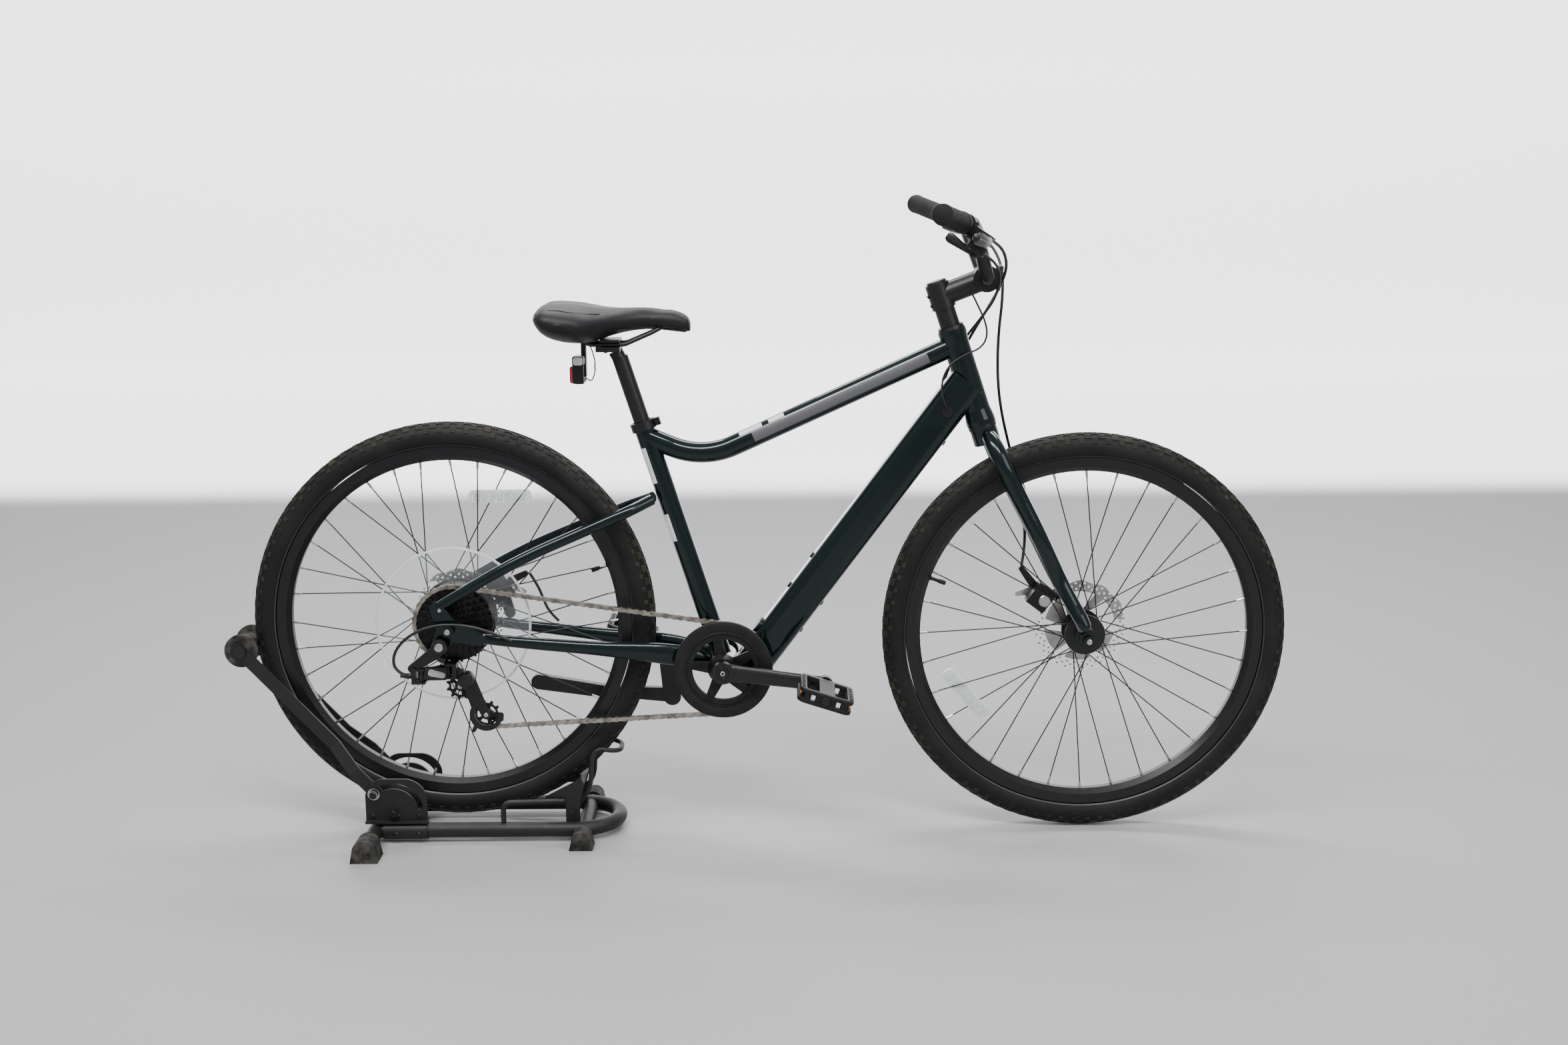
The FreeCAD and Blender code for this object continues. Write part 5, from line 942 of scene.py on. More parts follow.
def makeDerailleur():
    makePulley("guide_pulley", "guidePulley")
    makePulley("tension_pulley", "tensionPulley")
    guide, tension = centreOf("guide_pulley"), centreOf("tension_pulley")
    low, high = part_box("derailleur_cage")
    outerY, innerY = low.y + 0.0025, high.y - 0.002
    top = at(22, 0, 276)

    def flat(spot):
        # millimetres from the lower pulley's centre
        return ((spot.x - tension.x) * 1000, (spot.z - tension.z) * 1000)

    outerPlace = upright(Vector((tension.x, outerY, tension.z)))
    innerPlace = upright(Vector((tension.x, innerY, tension.z)))
    lift = Matrix.Translation((0, 0, 0.0001))
    cage = [sheetShape("cageRing", [arcOutline(20.6, 27.6, 104, 362)], 1.6, outerPlace, bevel=0.4),
            sheetShape("cageStrut", [strapOutline(flat(top), 11.5, (0, 0), 7.2)], 1.7,
                       outerPlace @ lift, bevel=0.4),
            sheetShape("cageEdge", [strapOutline(flat(top), 11.5, (-20.5, 12.5), 3.4)], 1.5,
                       outerPlace, bevel=0.4),
            sheetShape("cageTop", [strapOutline(flat(top), 9, flat(guide), 7)], 1.8,
                       outerPlace @ lift, bevel=0.4),
            sheetShape("cageTab", [strapOutline((-17, -18), 3.6, (-21.5, -27), 3.0)], 1.5,
                       outerPlace, bevel=0.4),
            sheetShape("cageEnd", [strapOutline((25.5, 0), 4.2, (25.5, -8), 3.4)], 1.5,
                       outerPlace, bevel=0.4),
            sheetShape("cageInner", [strapOutline(flat(guide), 8, (0, 0), 9)], 1.4, innerPlace,
                       bevel=0.3),
            sheetShape("cageInnerFoot", [strapOutline((0, 0), 8.6, (16, -9), 6)], 1.3, innerPlace,
                       bevel=0.3)]
    finishPiece(join(cage, "derailleurCagePlates"), mats["satin"], "derailleur_cage", "black_metal",
                "derailleur_cage")
    bolts = []
    for spot in (guide, tension):
        bolts.append(turned("pulleyBolt", [(0, 0.9), (1.4, 0.9), (1.6, 2.0), (3.2, 2.0),
                                           (4.0, 1.2), (4.0, 0), (2.2, 0), (2.2, -16.5),
                                           (4.4, -16.5), (4.4, -18.0), (0, -18.0)],
                            Vector((spot.x, outerY - 0.0008, spot.z)), -across, steps=20))
    finishPiece(join(bolts, "pulleyBolts"), mats["steel"], "derailleur_cage", "steel")

    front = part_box("derailleur_knuckle")[0].y
    boss = turned("hangerBoss", [(0, 1.5), (9.5, 1.5), (12.2, 0.2), (12.8, -1.5), (12.8, -9),
                                 (0, -9)],
                  at(-13, front * 1000, 343), -across, steps=40)
    barrel = turned("cableBarrel", [(0, -7), (4.4, -7), (4.8, -6), (4.4, -5), (4.8, -4),
                                    (4.4, -3), (4.8, -2), (4.4, -1), (4.8, 0), (3.4, 1.5),
                                    (3.4, 7), (0, 7)],
                    at(-73, -86, 293.4), Vector((-1, 0, 0)), steps=20)
    finishPiece(join([boss, barrel], "hangerBoss"), mats["satin"], "frame", "black_metal")
    hanger = turned("hangerBolt", [(0, 2.0), (2.6, 2.0), (2.9, 3.4), (5.4, 3.4), (7.0, 2.4),
                                   (7.2, 0), (0, 0)],
                    at(-13, front * 1000 - 0.8, 343), -across, steps=32)
    axleCap = turned("axleCap", [(0, 2.4), (2.6, 2.4), (4.6, 1.2), (5.4, -0.6), (0, -0.6)],
                     Vector((rearHub.x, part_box("rear_axle")[0].y, rearHub.z)), -across, steps=28)
    stayBolt = turned("stayBolt", [(0, 0.8), (1.2, 0.8), (1.5, 2.0), (2.6, 2.0), (3.4, 1.0),
                                   (3.4, -2), (0, -2)],
                      at(-13, -74.2, 401), -across, steps=20)
    finishPiece(join([hanger, axleCap, stayBolt], "rearBolts"), mats["steel"], "frame", "steel")

    linkTurn = (Matrix.Rotation(math.radians(38.5), 3, "Z")
                @ Matrix.Rotation(math.radians(9), 3, "Y"))
    middle = centreOf("derailleur_outer_link")
    outwards = linkTurn @ Vector((0, -1, 0))
    cover = block("linkCover", (46, 8, 23), middle + outwards * 0.0025, linkTurn, 3.6, 4)
    finishPiece(cover, mats["satin"], "derailleur_outer_link", "black_metal")
    plate = sheetShape("linkPlate", [strapOutline((-11, 0), 5.6, (12, 0), 4.6)], 0.8,
                       Matrix.Translation(middle + outwards * 0.0069) @ linkTurn.to_4x4()
                       @ Matrix.Rotation(math.radians(12), 4, "Y") @ uprightPlane, bevel=0.25)
    finishPiece(plate, mats["steel"], "derailleur_outer_link", "steel")
    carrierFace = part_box("derailleur_carrier")[0].y * 1000
    joint = turned("cageKnuckle", [(0, 1.6), (8.5, 1.6), (11.6, 0.4), (13.2, -2), (13.2, -20),
                                   (12, -21.5), (0, -21.5)],
                   at(22, carrierFace + 2.0, 276), -across, steps=40)
    finishPiece(joint, mats["satin"], "derailleur_carrier", "black_metal")


# ---- saddle

saddleShape = {"voxel": 5.0, "pressure": 4.0, "cap": 2.5, "shrink": 1.4, "frames": 20,
               "endLength": 0.075, "endPower": 1.75, "hollowDepth": 0.0035,
               "hollowWidth": 0.016, "hollowStart": 330, "hollowRun": 0.12,
               "relax": 0.6, "relaxSteps": 10, "shellTop": 862,
               "seam": ((160, 887), (175, 894), (195, 894.5), (215, 891), (238, 887.5),
                        (262, 886))}


def inflate(piece):
    # pressure in cloth rounds the pad; no point may move further than the cap
    before = [vertex.co.copy() for vertex in piece.data.vertices]
    cloth = piece.modifiers.new("cloth", "CLOTH")
    cloth.settings.use_pressure = True
    cloth.settings.uniform_pressure_force = saddleShape["pressure"]
    cloth.settings.effector_weights.gravity = 0
    cloth.settings.quality = 5
    cloth.point_cache.frame_start = 1
    cloth.point_cache.frame_end = saddleShape["frames"]
    for number in range(1, saddleShape["frames"] + 1):
        bpy.context.scene.frame_set(number)
    applyModifiers(piece)
    bpy.context.scene.frame_set(1)
    cap = saddleShape["cap"] / 1000
    for vertex, start in zip(piece.data.vertices, before):
        move = vertex.co - start
        if move.length > cap:
            vertex.co = start + move.normalized() * cap


def saddleCopy(name):
    # the frame's own saddle as a loose, merged copy
    piece = copyOf(nodes["saddle"], name)
    piece.parent = None
    piece.matrix_world = Matrix.Identity(4)
    tidyNormals(piece)
    return piece


def makeSaddle():
    pad = saddleCopy("saddlePad")
    remesh = pad.modifiers.new("remesh", "REMESH")
    remesh.mode = "VOXEL"
    remesh.voxel_size = saddleShape["voxel"] / 1000
    applyModifiers(pad)
    low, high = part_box("saddle")
    shrink = saddleShape["shrink"] / 1000
    endLength = saddleShape["endLength"]
    hollowStart = at(saddleShape["hollowStart"], 0, 0).x
    for vertex in pad.data.vertices:
        vertex.co -= vertex.normal * shrink
        # blunt, full ends
        for end, sense in ((low.x, 1), (high.x, -1)):
            share = (vertex.co.x - end) * sense / endLength
            if 0 < share < 1:
                vertex.co.x = end + sense * endLength * share ** saddleShape["endPower"]
        # hollow down the middle of the wide rear half
        rear = max(0.0, min(1.0, (hollowStart - vertex.co.x) / saddleShape["hollowRun"]))
        dip = math.exp(-(vertex.co.y / saddleShape["hollowWidth"]) ** 2) * rear
        if vertex.normal.z > 0.3:
            vertex.co.z -= saddleShape["hollowDepth"] * dip
    inflate(pad)
    pad.data.update()
    relax = pad.modifiers.new("relax", "SMOOTH")
    relax.factor = saddleShape["relax"]
    relax.iterations = saddleShape["relaxSteps"]
    subdivision = pad.modifiers.new("smooth", "SUBSURF")
    subdivision.levels = 1
    subdivision.render_levels = 1
    applyModifiers(pad)
    # keep the pad inside the frame's space
    for vertex in pad.data.vertices:
        vertex.co.x = max(low.x - 0.001, min(high.x + 0.001, vertex.co.x))
        vertex.co.z = min(high.z + 0.002, vertex.co.z)
    smooth(pad, 70)
    finishPiece(pad, mats["vinyl"], "seat", "saddle_cover", "saddle")

    def surfaceY(x, z, side):
        start = Vector((x, side * 0.3, z))
        hit, place, normal, _ = pad.ray_cast(start, Vector((0, -side, 0)))
        return place + normal * 0.0005 if hit else None

    seams = []
    for side in (-1, 1):
        points = []
        for x, z in saddleShape["seam"]:
            spot = at(x, 0, z)
            found = surfaceY(spot.x, spot.z, side)
            if found is not None:
                points.append(found)
        if len(points) > 4:
            seams.append(thicken(bareCurve("seam", points), 0.7, 2))
    seam = join(seams, "saddleSeams")
    finishPiece(seam, mats["vinyl"], "seat", "saddle_cover")
    shell = saddleCopy("saddleShell")
    pick(shell)
    bpy.ops.object.mode_set(mode="EDIT")
    bpy.ops.mesh.select_all(action="SELECT")
    bpy.ops.mesh.bisect(plane_co=at(250, 0, saddleShape["shellTop"]),
                        plane_no=Vector((0.03, 0, 1)), clear_outer=True, use_fill=True)
    bpy.ops.object.mode_set(mode="OBJECT")
    centre = at(270, 0, 850)
    shell.data.transform(Matrix.Translation(centre) @ Matrix.Diagonal((0.93, 0.9, 0.97, 1))
                         @ Matrix.Translation(-centre))
    finishPiece(shell, mats["plastic"], "seat", "pedal_plastic")
    print("saddle made")


# ---- controls

barShape = {"end": (797, -320, 1049), "elbow": (864.8, -110, 1021.5), "reach": (0.82, 0, -0.57)}
origin = Vector((0, 0, 0))
quarterTurn = Matrix.Rotation(math.radians(90), 4, "X")


def handFrame(side):
    # the same axes as the frame's controls: forward and down, along the bar, and their normal
    end, elbow = at(*barShape["end"]), at(*barShape["elbow"])
    inwards = (elbow - end).normalized()
    reach = Vector(barShape["reach"])
    reach = (reach - inwards * reach.dot(inwards)).normalized()
    if side > 0:
        end.y, inwards.y, reach.y = -end.y, -inwards.y, -reach.y
    turn = Matrix((reach, inwards, reach.cross(inwards))).transposed().to_4x4()
    return Matrix.Translation(end) @ turn


def makeGrips():
    ridges = [(0, -3.0), (13.5, -3.0), (16.3, -1.4), (16.6, 1.5)]
    for number in range(24):
        start = 6 + number * 4.4
        ridges += [(15.2, start), (15.9, start + 0.8), (15.9, start + 2.9), (15.2, start + 3.7)]
    ridges += [(16.6, 113.5), (17.0, 115), (17.0, 124), (16.2, 127.5), (14.0, 130.0), (11.3, 130.0)]
    grips = []
    for side in (-1, 1):
        place = handFrame(side)
        grip = turned("grip", ridges, origin, steps=36)
        grip.data.transform(place)
        grips.append(grip)
    grips = join(grips, "gripSleeves")
    tidyNormals(grips)
    smooth(grips, 50)
    finishPiece(grips, mats["grip"], "fork_and_bar", "grip_rubber", "grips")


def makeControlDetails():
    pieces = []
    for side in (-1, 1):
        place = handFrame(side)
        for spot in ((13, 156.5, 11), (13, 156.5, -11)):
            head = turned("clampBolt", [(0, 1.5), (2.0, 1.5), (2.6, 0.8), (2.6, -4), (0, -4)],
                          origin, steps=14)
            head.data.transform(place @ Matrix.Translation(Vector(spot) / 1000) @ quarterTurn)
            pieces.append(head)
        barrel = turned("barrel", [(0, 0), (5.6, 0), (5.6, 1.6), (5.2, 2), (5.6, 2.6), (5.2, 3.2),
                                   (5.6, 4), (5.2, 4.8), (5.6, 5.6), (5.2, 6.4), (5.6, 7.6), (4, 9),
                                   (0, 9)], origin, steps=20)
        barrel.data.transform(place @ Matrix.Translation((0.029, 0.176, 0)))
        pieces.append(barrel)
    for x, z in ((914.1, 925), (912.3, 948)):
        for y in (-13, 13):
            pieces.append(turned("plateBolt", [(0, 1.5), (2.4, 1.5), (3.0, 0.8), (3.0, -3.5),
                                               (0, -3.5)],
                                 at(x, y, z), Vector((0.96, 0, -0.2)), steps=14))
    for x, z in ((798.4, 906.0), (803.9, 890.5)):
        pieces.append(turned("stemBolt", [(0, -9), (2.2, -9), (2.8, -8), (2.8, 8), (2.2, 9),
                                          (0, 9)],
                             at(x, 0, z), across, steps=16))
    bolts = join(pieces, "controlBolts")
    finishPiece(bolts, mats["anodised"], "fork_and_bar", "black_metal")

    plateFront = block("barPlate", (7, 40, 42), at(913.5, 0, 936.5),
                       Matrix.Rotation(math.radians(8), 3, "Y"), 3.0, 3)
    finishPiece(plateFront, mats["satin"], "fork_and_bar", "black_metal")


leverShape = {"route": ((41, 154), (50, 134), (58, 104), (60, 72), (57, 46), (53.5, 25)),
              "thickness": 7.0, "rootSpread": 1.7, "tipSpread": 3.1, "tipRound": 13.0, "lift": 0.0}
paddleShape = {"route": ((24, 184), (10, 184.5), (-4, 184.5), (-22, 183)),
               "thickness": 5.0, "rootSpread": 1.6, "tipSpread": 3.7, "tipRound": 10.0,
               "lift": -33.0}


def makeBlade(name, shape, side, body):
    # a flat lever: a rod along its route, spread sideways towards a rounded tip
    tip, root = Vector(shape["route"][-1]) / 1000, Vector(shape["route"][0]) / 1000
    blade = bareCurve(name, [Vector((x, y, 0)) / 1000 for x, y in shape["route"]])
    blade = thicken(blade, shape["thickness"] / 2, 4)
    for vertex in blade.data.vertices:
        along = (vertex.co.xy - tip).length
        share = min(1.0, along / (root - tip).length)
        spread = shape["tipSpread"] + (shape["rootSpread"] - shape["tipSpread"]) * share
        rounding = min(1.0, along * 1000 / shape["tipRound"])
        vertex.co.z *= spread * (0.35 + 0.65 * math.sqrt(1 - (1 - rounding) ** 2))
        vertex.co.z += shape["lift"] / 1000
    blade.data.transform(handFrame(side))
    tidyNormals(blade)
    smooth(blade, 50)
    finishPiece(blade, mats["satin"], body, "black_metal")


def makeLevers():
    makeBlade("rightBlade", leverShape, -1, "right_lever")
    makeBlade("leftBlade", leverShape, 1, "left_lever")
    makeBlade("thumbPaddle", paddleShape, -1, "paddle")


def makeShifter():
    place = handFrame(-1)
    pod = turned("shifterPod", [(0, -30.5), (10, -30.5), (14.5, -29.0), (16.4, -26), (16.6, -17),
                                (15.4, -13.8), (9, -12.6), (0, -12.4)], origin, steps=40)
    pod.data.transform(place @ Matrix.Translation((0.029, 0.182, 0)) @ quarterTurn)
    window = turned("gearWindow", [(0, 0), (9.5, 0), (10.5, -0.6), (10.5, -2)], origin, steps=32)
    window.data.transform(place @ Matrix.Translation((0.029, 0.182, -0.0118)) @ quarterTurn)
    finishPiece(pod, mats["plastic"], "fork_and_bar", "pedal_plastic")
    finishPiece(window, mats["anodised"], "fork_and_bar", "black_metal")


# ---- cables at the head

def makeCable(name, route, radius, length, bodies, stiffness, *replaced):
    # a smooth hose along its route
    cable = bareCurve(name, route)
    bpy.context.view_layer.update()
    bare = bpy.data.meshes.new_from_object(cable)
    cable = thicken(cable, radius, 5)
    cable.data.materials.append(mats["housing"])
    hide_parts(*replaced)
    if len(bodies) == 2:
        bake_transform(cable)
    else:
        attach(cable, *bodies)


def makeCables():
    left = handFrame(1) @ Vector((0.029, 0.1905, 0))
    right = handFrame(-1) @ Vector((0.029, 0.1905, 0))
    shift = handFrame(-1) @ Vector((0.029, 0.203, -0.021))
    turning = ("frame", "fork_and_bar")
    makeCable("frontBrakeHose", [
        left, at(890, 118, 1002), at(912, 86, 984), at(926, 60, 948), at(925, 47, 900),
        at(919, 43, 850), at(917, 43, 800), at(919, 46, 752), at(926, 52, 706), at(938, 62, 658),
        at(952, 74, 610), at(963, 79, 560), at(971, 77, 510), at(970, 69, 468),
        at(964, 58.5, 442.5)], 2.5, 642, ("fork_and_bar",), "medium", "front_brake_housing")
    makeCable("rearBrakeHose", [
        right, at(893, -116, 1001), at(913, -82, 984), at(922, -46, 955), at(914, -12, 922),
        at(897, 12, 886), at(877, 28, 850), at(858, 36, 814), at(843, 38, 778), at(833, 37, 748),
        at(829, 31.6, 727), at(829, 24, 716)], 2.5, 412, turning, "medium", "steering_housings")
    makeCable("gearHousing", [
        shift, at(881, -100, 979), at(903, -72, 962), at(913, -40, 936), at(905, -12, 900),
        at(884, 10, 868), at(860, 30, 834), at(843, 38, 801), at(829, 39.5, 768),
        at(821, 37, 738), at(820.5, 31.3, 716), at(822, 24, 708)], 2.2, 393, turning, "medium",
        "steering_housings")
    makeCable("thinLead", [
        at(868, -24, 912), at(879, -26, 890), at(890, -28, 866), at(893, -29, 842),
        at(882, -30, 824), at(858, -31, 815), at(834, -33, 801), at(820, -35, 779),
        at(818, -36, 755), at(824, -34, 735), at(828, -30.1, 720), at(829, -24, 714)], 1.6, 242,
        turning, "limp", "steering_housings")
    makeCable("rearGearHousing", [
        at(104, -70.8, 347), at(78, -75, 361), at(40, -80, 375), at(-4, -85, 381),
        at(-46, -87, 372), at(-78, -87, 350), at(-92, -87, 324), at(-87, -86.5, 301),
        at(-69.4, -86, 293.6)], 2.5, 266, ("frame",), "medium", "rear_housings")
    makeCable("rearBrakeTail", [
        at(168, 57, 350.5), at(152, 58, 366), at(142, 60, 388), at(134, 61, 411),
        at(119.5, 62.5, 434)], 2.5, 98, ("frame",), "medium", "rear_housings")
    print("cables made")


# ---- pedals and cranks

pedalShape = {"length": 88.0, "width": 95.0, "height": 23.0, "wall": 9.0, "corner": 13.0,
              "railHeight": 6.5, "tilt": 18.0, "bar": 12.5, "posts": (-30, -12, 12, 30),
              "postSpread": 43}


def makePedal(side, node, name):
    centre = centreOf(node)
    shape = pedalShape
    tilt = Matrix.Rotation(math.radians(shape["tilt"]), 4, "Y")
    place = Matrix.Translation(centre) @ tilt
    outer = roundedOutline(shape["length"], shape["width"], shape["corner"])
    pocketLength = shape["length"] / 2 - shape["wall"] - shape["bar"]
    pockets = []
    for end in (-1, 1):
        middle = end * (shape["bar"] + pocketLength / 2)
        pockets.append([(middle + x, y) for x, y in
                        roundedOutline(pocketLength, shape["width"] - 2 * shape["wall"], 4.5, 3)])
    rise = (shape["height"] - shape["railHeight"]) / 2
    pieces = []
    for face in (-1, 1):
        lift = Matrix.Translation((0, 0, face * rise / 1000))
        pieces.append(sheetShape("pedalRail", [outer] + pockets, shape["railHeight"] - 1.6,
                                 place @ lift, bevel=0.8))
    post = block("post", (11, 8, shape["height"] - 4), origin, None, 1.5, 2)
    for x in shape["posts"]:
        for y in (-shape["postSpread"], shape["postSpread"]):
            pieces.append(copyOf(post, "post",
                                 place @ Matrix.Translation((x / 1000, y / 1000, 0))))
    tooth = block("tooth", (4, 6, 2.6), origin, None, 0.8, 1)
    for end in (-1, 1):
        for row in range(-3, 4):
            for face in (-1, 1):
                pieces.append(copyOf(tooth, "tooth", place @ Matrix.Translation(
                    (end * 0.0395, row * 0.0105, face * 0.0116))))
    for end in (-1, 1):
        pieces.append(block("endWall", (3.2, 66, 14), place @ Vector((end * 0.0362, 0, 0)),
                            tilt.to_3x3(), 1.0, 2))
    bpy.data.objects.remove(post)
    bpy.data.objects.remove(tooth)
    pieces.append(turned("pedalBarrel", [(0, -46), (8.5, -46), (10.5, -43), (10.5, -30), (9.4, -28),
                                         (9.4, 28), (10.5, 30), (10.5, 43), (8.5, 46), (0, 46)],
                         centre, steps=28))
    pieces.append(turned("pedalCap", [(0, 3), (5, 3), (8, 1.8), (8.8, 0), (8.8, -3), (0, -3)],
                         centre + Vector((0, side * 0.0472, 0)), Vector((0, side, 0)), steps=24))
    finishPiece(join(pieces, name), mats["plastic"], node, "pedal_plastic", node)
    lamps = [block("pedalReflector", (3.6, 52, 9.5), place @ Vector((end * 0.0405, 0, 0)),
                   tilt.to_3x3(), 1.0, 2) for end in (-1, 1)]
    finishPiece(join(lamps, name + "Reflectors"), mats["orange"], node, "pedal_plastic")


def makeCrankDetails():
    caps = []
    bolts = []
    for side in (-1, 1):
        spot = crankHub + Vector((0, side * 0.0815, 0))
        caps.append(turned("crankCap", [(4.6, -2), (4.6, 0.6), (6.4, 0.6), (7.4, 2.0), (9.8, 1.6),
                                        (10.8, 0), (10.8, -2), (4.6, -2)],
                           spot, Vector((0, side, 0)), steps=32))
        bolts.append(turned("crankBolt", [(0, -0.6), (1.9, -0.6), (2.1, 0.9), (3.8, 0.9),
                                          (4.5, 0.2), (4.5, -2), (0, -2)],
                            spot, Vector((0, side, 0)), steps=28))
    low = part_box("chain_guard")[0]
    face = Vector((crankHub.x, low.y, crankHub.z))
    for number in range(5):
        turn = math.radians(28 + 72 * number)
        bolts.append(turned("guardBolt", [(0, 0.4), (1.2, 0.4), (1.4, 1.5), (2.4, 1.5),
                                          (2.8, 0.8), (2.8, -2), (0, -2)],
                            onCircle(face, 0.0575, turn, face.y + 0.0008), -across, steps=16))
        # known fault: the web belongs in the loop above, once on each crank; here it is made
        # five times over on the left one, and the right one has none
        drop = crankHub - centreOf("left_pedal")
        lean = math.degrees(math.atan2(-drop.z, -drop.x))
        caps.append(sheetShape("crankWeb", [strapOutline((0, 0), 20.0, (88, 0), 14.2, 16)], 8.6,
                               upright(crankHub + Vector((0, 0.0742, 0)), lean), bevel=2.2))
    finishPiece(join(caps, "crankCaps"), mats["satin"], "crankset", "black_metal")
    finishPiece(join(bolts, "crankBolts"), mats["steel"], "crankset", "steel")
    hubCaps = [turned("hubCap", [(0, 2.0), (2.4, 2.0), (4.4, 1.0), (5.0, -0.6), (0, -0.6)],
                      Vector((frontHub.x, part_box("front_axle")[end].y, frontHub.z)),
                      Vector((0, (-1, 1)[end], 0)), steps=28) for end in (0, 1)]
    finishPiece(join(hubCaps, "frontAxleCaps"), mats["steel"], "fork_and_bar", "steel")
    rim = turned("guardRim", [(83, 1.6), (82.8, -1.2), (81.4, -2.2), (67.0, -2.4), (65.8, -1.6),
                              (64.8, -1.6), (64.0, -2.6), (62.2, -2.6), (61.4, -1.4), (61.4, 1.6),
                              (83, 1.6)],
                 face, steps=128)
    finishPiece(rim, mats["plastic"], "crankset", "pedal_plastic")


# ---- tail light, brakes and fittings

def makeTailLight():
    lens = block("tailLens", (9, 43, 28), at(211.9, 0, 784.5), None, 3.4, 3)
    dome = block("tailDome", (20.6, 47.6, 17.5), at(221.8, 0, 807.1), None, 5.0, 3)
    body = block("tailBody", (17, 45, 31), at(222.5, 0, 784.5), None, 3.5, 3)
    finishPiece(lens, mats["lens"], "seat", "battery_case")
    finishPiece(dome, mats["clear"], "seat", "battery_case")
    finishPiece(body, mats["plastic"], "seat", "battery_case")


def makeBrakeDetails():
    front = []
    rear = []
    for pieces, spots, y in ((front, ((1000, 405), (984, 384)), 60.4),
                             (rear, ((80, 402), (66, 424)), 66.4)):
        for x, z in spots:
            pieces.append(turned("caliperBolt", [(0, 3.4), (2.6, 3.4), (3.6, 2.4), (3.6, -1),
                                                 (0, -1)],
                                 at(x, y, z), across, steps=14))
    discs = turned("padAdjuster", [(0, -3.2), (9, -3.2), (10.5, -2), (10.5, 1), (0, 1)],
                   at(1001, 28.6, 386), across, steps=30)
    finishPiece(join(front + [discs], "frontCaliperBolts"), mats["steel"], "fork_and_bar", "steel")
    finishPiece(join(rear, "rearCaliperBolts"), mats["steel"], "frame", "steel")


# the top tube's line rises from lowEnd to highEnd; the seat tube leans back by seatLean
decalShape = {"lowEnd": (425, 640), "highEnd": (846, 829), "seatTop": (323.3, 702.7),
              "seatLean": 0.3174}


def makeDecals():
    (lowX, lowZ), (highX, highZ) = decalShape["lowEnd"], decalShape["highEnd"]
    slope = (highZ - lowZ) / (highX - lowX)
    axis = Vector((1, 0, slope)).normalized()
    seatX, seatZ = decalShape["seatTop"]
    seatLean = decalShape["seatLean"]
    seatAxis = Vector((-seatLean, 0, 1)).normalized()

    def wrap(name, x, z, length, radius, direction, fromAngle, sweep):
        # a film on a round tube; it starts at an angle about the tube and sweeps upwards
        piece = turned(name, [(radius, -length / 2), (radius, length / 2)], origin,
                       steps=14, angle=math.radians(sweep))
        piece.data.transform(Matrix.Rotation(math.radians(fromAngle), 4, "Y"))
        turn = across.rotation_difference(direction).to_matrix().to_4x4()
        piece.data.transform(Matrix.Translation(at(x, 0, z)) @ turn)
        return piece

    def onTopTube(low, high, name, radius, fromAngle, sweep):
        middle = (low + high) / 2
        return wrap(name, middle, lowZ + (middle - lowX) * slope, high - low, radius, axis,
                    fromAngle, sweep)

    labels = [onTopTube(489, 530, "label", 17.74, -64, 30),
              onTopTube(538, 566, "label", 17.74, -64, 30)]
    for low, high in ((603, 665), (505, 553)):
        middle = (low + high) / 2
        labels.append(wrap("label", seatX + (seatZ - middle) * seatLean, middle, high - low, 17.2,
                           seatAxis, -130, 44))
    finishPiece(join(labels, "blankLabels"), mats["sticker"], "frame", "frame_paint")
    stripe = onTopTube(495, 812, "greyStripe", 17.7, 1, 58)
    finishPiece(stripe, mats["stripe"], "frame", "frame_paint")
    edge = onTopTube(548, 812, "stripeEdge", 17.9, -55.5, 2.4)
    finishPiece(edge, mats["sticker"], "frame", "frame_paint")


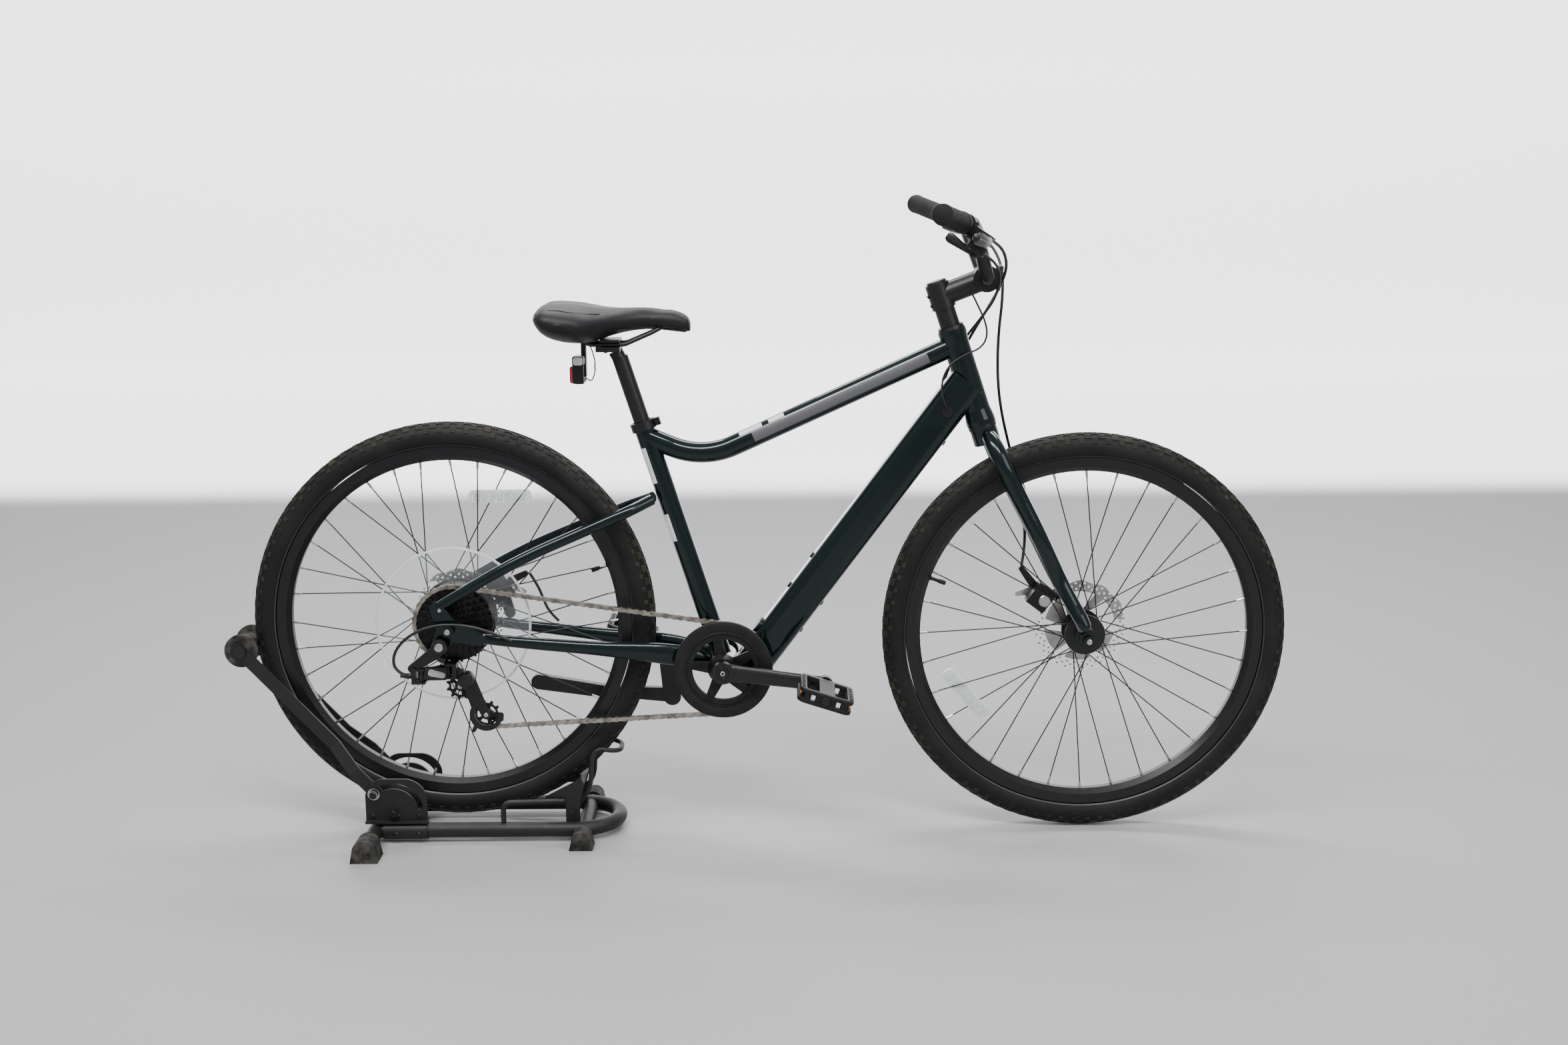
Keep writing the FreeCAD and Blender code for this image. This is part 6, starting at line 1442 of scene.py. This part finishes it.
def makeStandDetails():
    pieces = []
    for side in (-1, 1):
        face = side * 81.0
        for x, z in ((-105, 52), (-136.9, 84.6)):
            pieces.append(turned("hexBolt", [(0, 4.6), (5.6, 4.6), (6.6, 3.8), (6.6, -0.5),
                                             (0, -0.5)],
                                 at(x, face, z), Vector((0, side, 0)), steps=6))
        for x, z in ((-100, 16), (-62, 16)):
            pieces.append(turned("sleeveBolt", [(0, 3), (3.4, 3), (4.4, 2.2), (4.4, -1.5),
                                                (0, -1.5)],
                                 at(x, side * 84.6, z), Vector((0, side, 0)), steps=14))
        for x in (-140, -98, -62):
            pieces.append(turned("plateBolt", [(0, 2.6), (3.0, 2.6), (4.0, 1.8), (4.0, -1),
                                               (0, -1)],
                                 at(x, side * 74.4, 46), Vector((0, side, 0)), steps=6))
    bolts = join(pieces, "standBolts")
    finishPiece(bolts, mats["anodised"], "stand", "steel")
    bright = []
    for side in (-1, 1):
        bright.append(turned("armBolt", [(0, 5.4), (2.4, 5.4), (2.6, 3.4), (4.8, 3.4), (6.0, 5.2),
                                         (7.2, 5.0), (7.8, 3.4), (7.8, 0.2), (10.2, 0.2),
                                         (10.2, -1.2), (0, -1.2)],
                             at(-136.9, side * 76.2, 84.6), Vector((0, side, 0)), steps=32))
    finishPiece(join(bright, "standArmBolts"), mats["steel"], "stand", "steel")


setScene()
for wheelEnd, wheelHub in (("front", frontHub), ("rear", rearHub)):
    makeTyre(wheelEnd, wheelHub)
makeNipples("front", frontHub, 32, 35.3, (-24.5, 18.5))
makeNipples("rear", rearHub, 36, 67.3, (-16.0, 34.5))
makeRotor("front", frontHub, centreOf("front_rotor").y)
makeRotor("rear", rearHub, centreOf("rear_rotor").y)
makeReflector("front", at(865, 0, 232), -49)
makeReflector("rear", at(83, 0, 580), 0)
makeValve("front", frontHub, 160)
makeValve("rear", rearHub, 20)
makeSpokeGuard()
makeHubDetails()
print("wheels made")
makeChain()
makeDerailleur()
makeSaddle()
makeGrips()
makeControlDetails()
makeLevers()
makeShifter()
makeCables()
makePedal(-1, "right_pedal", "rightPedal")
makePedal(1, "left_pedal", "leftPedal")
makeCrankDetails()
makeTailLight()
makeBrakeDetails()
makeDecals()
makeStandDetails()
print("details made")
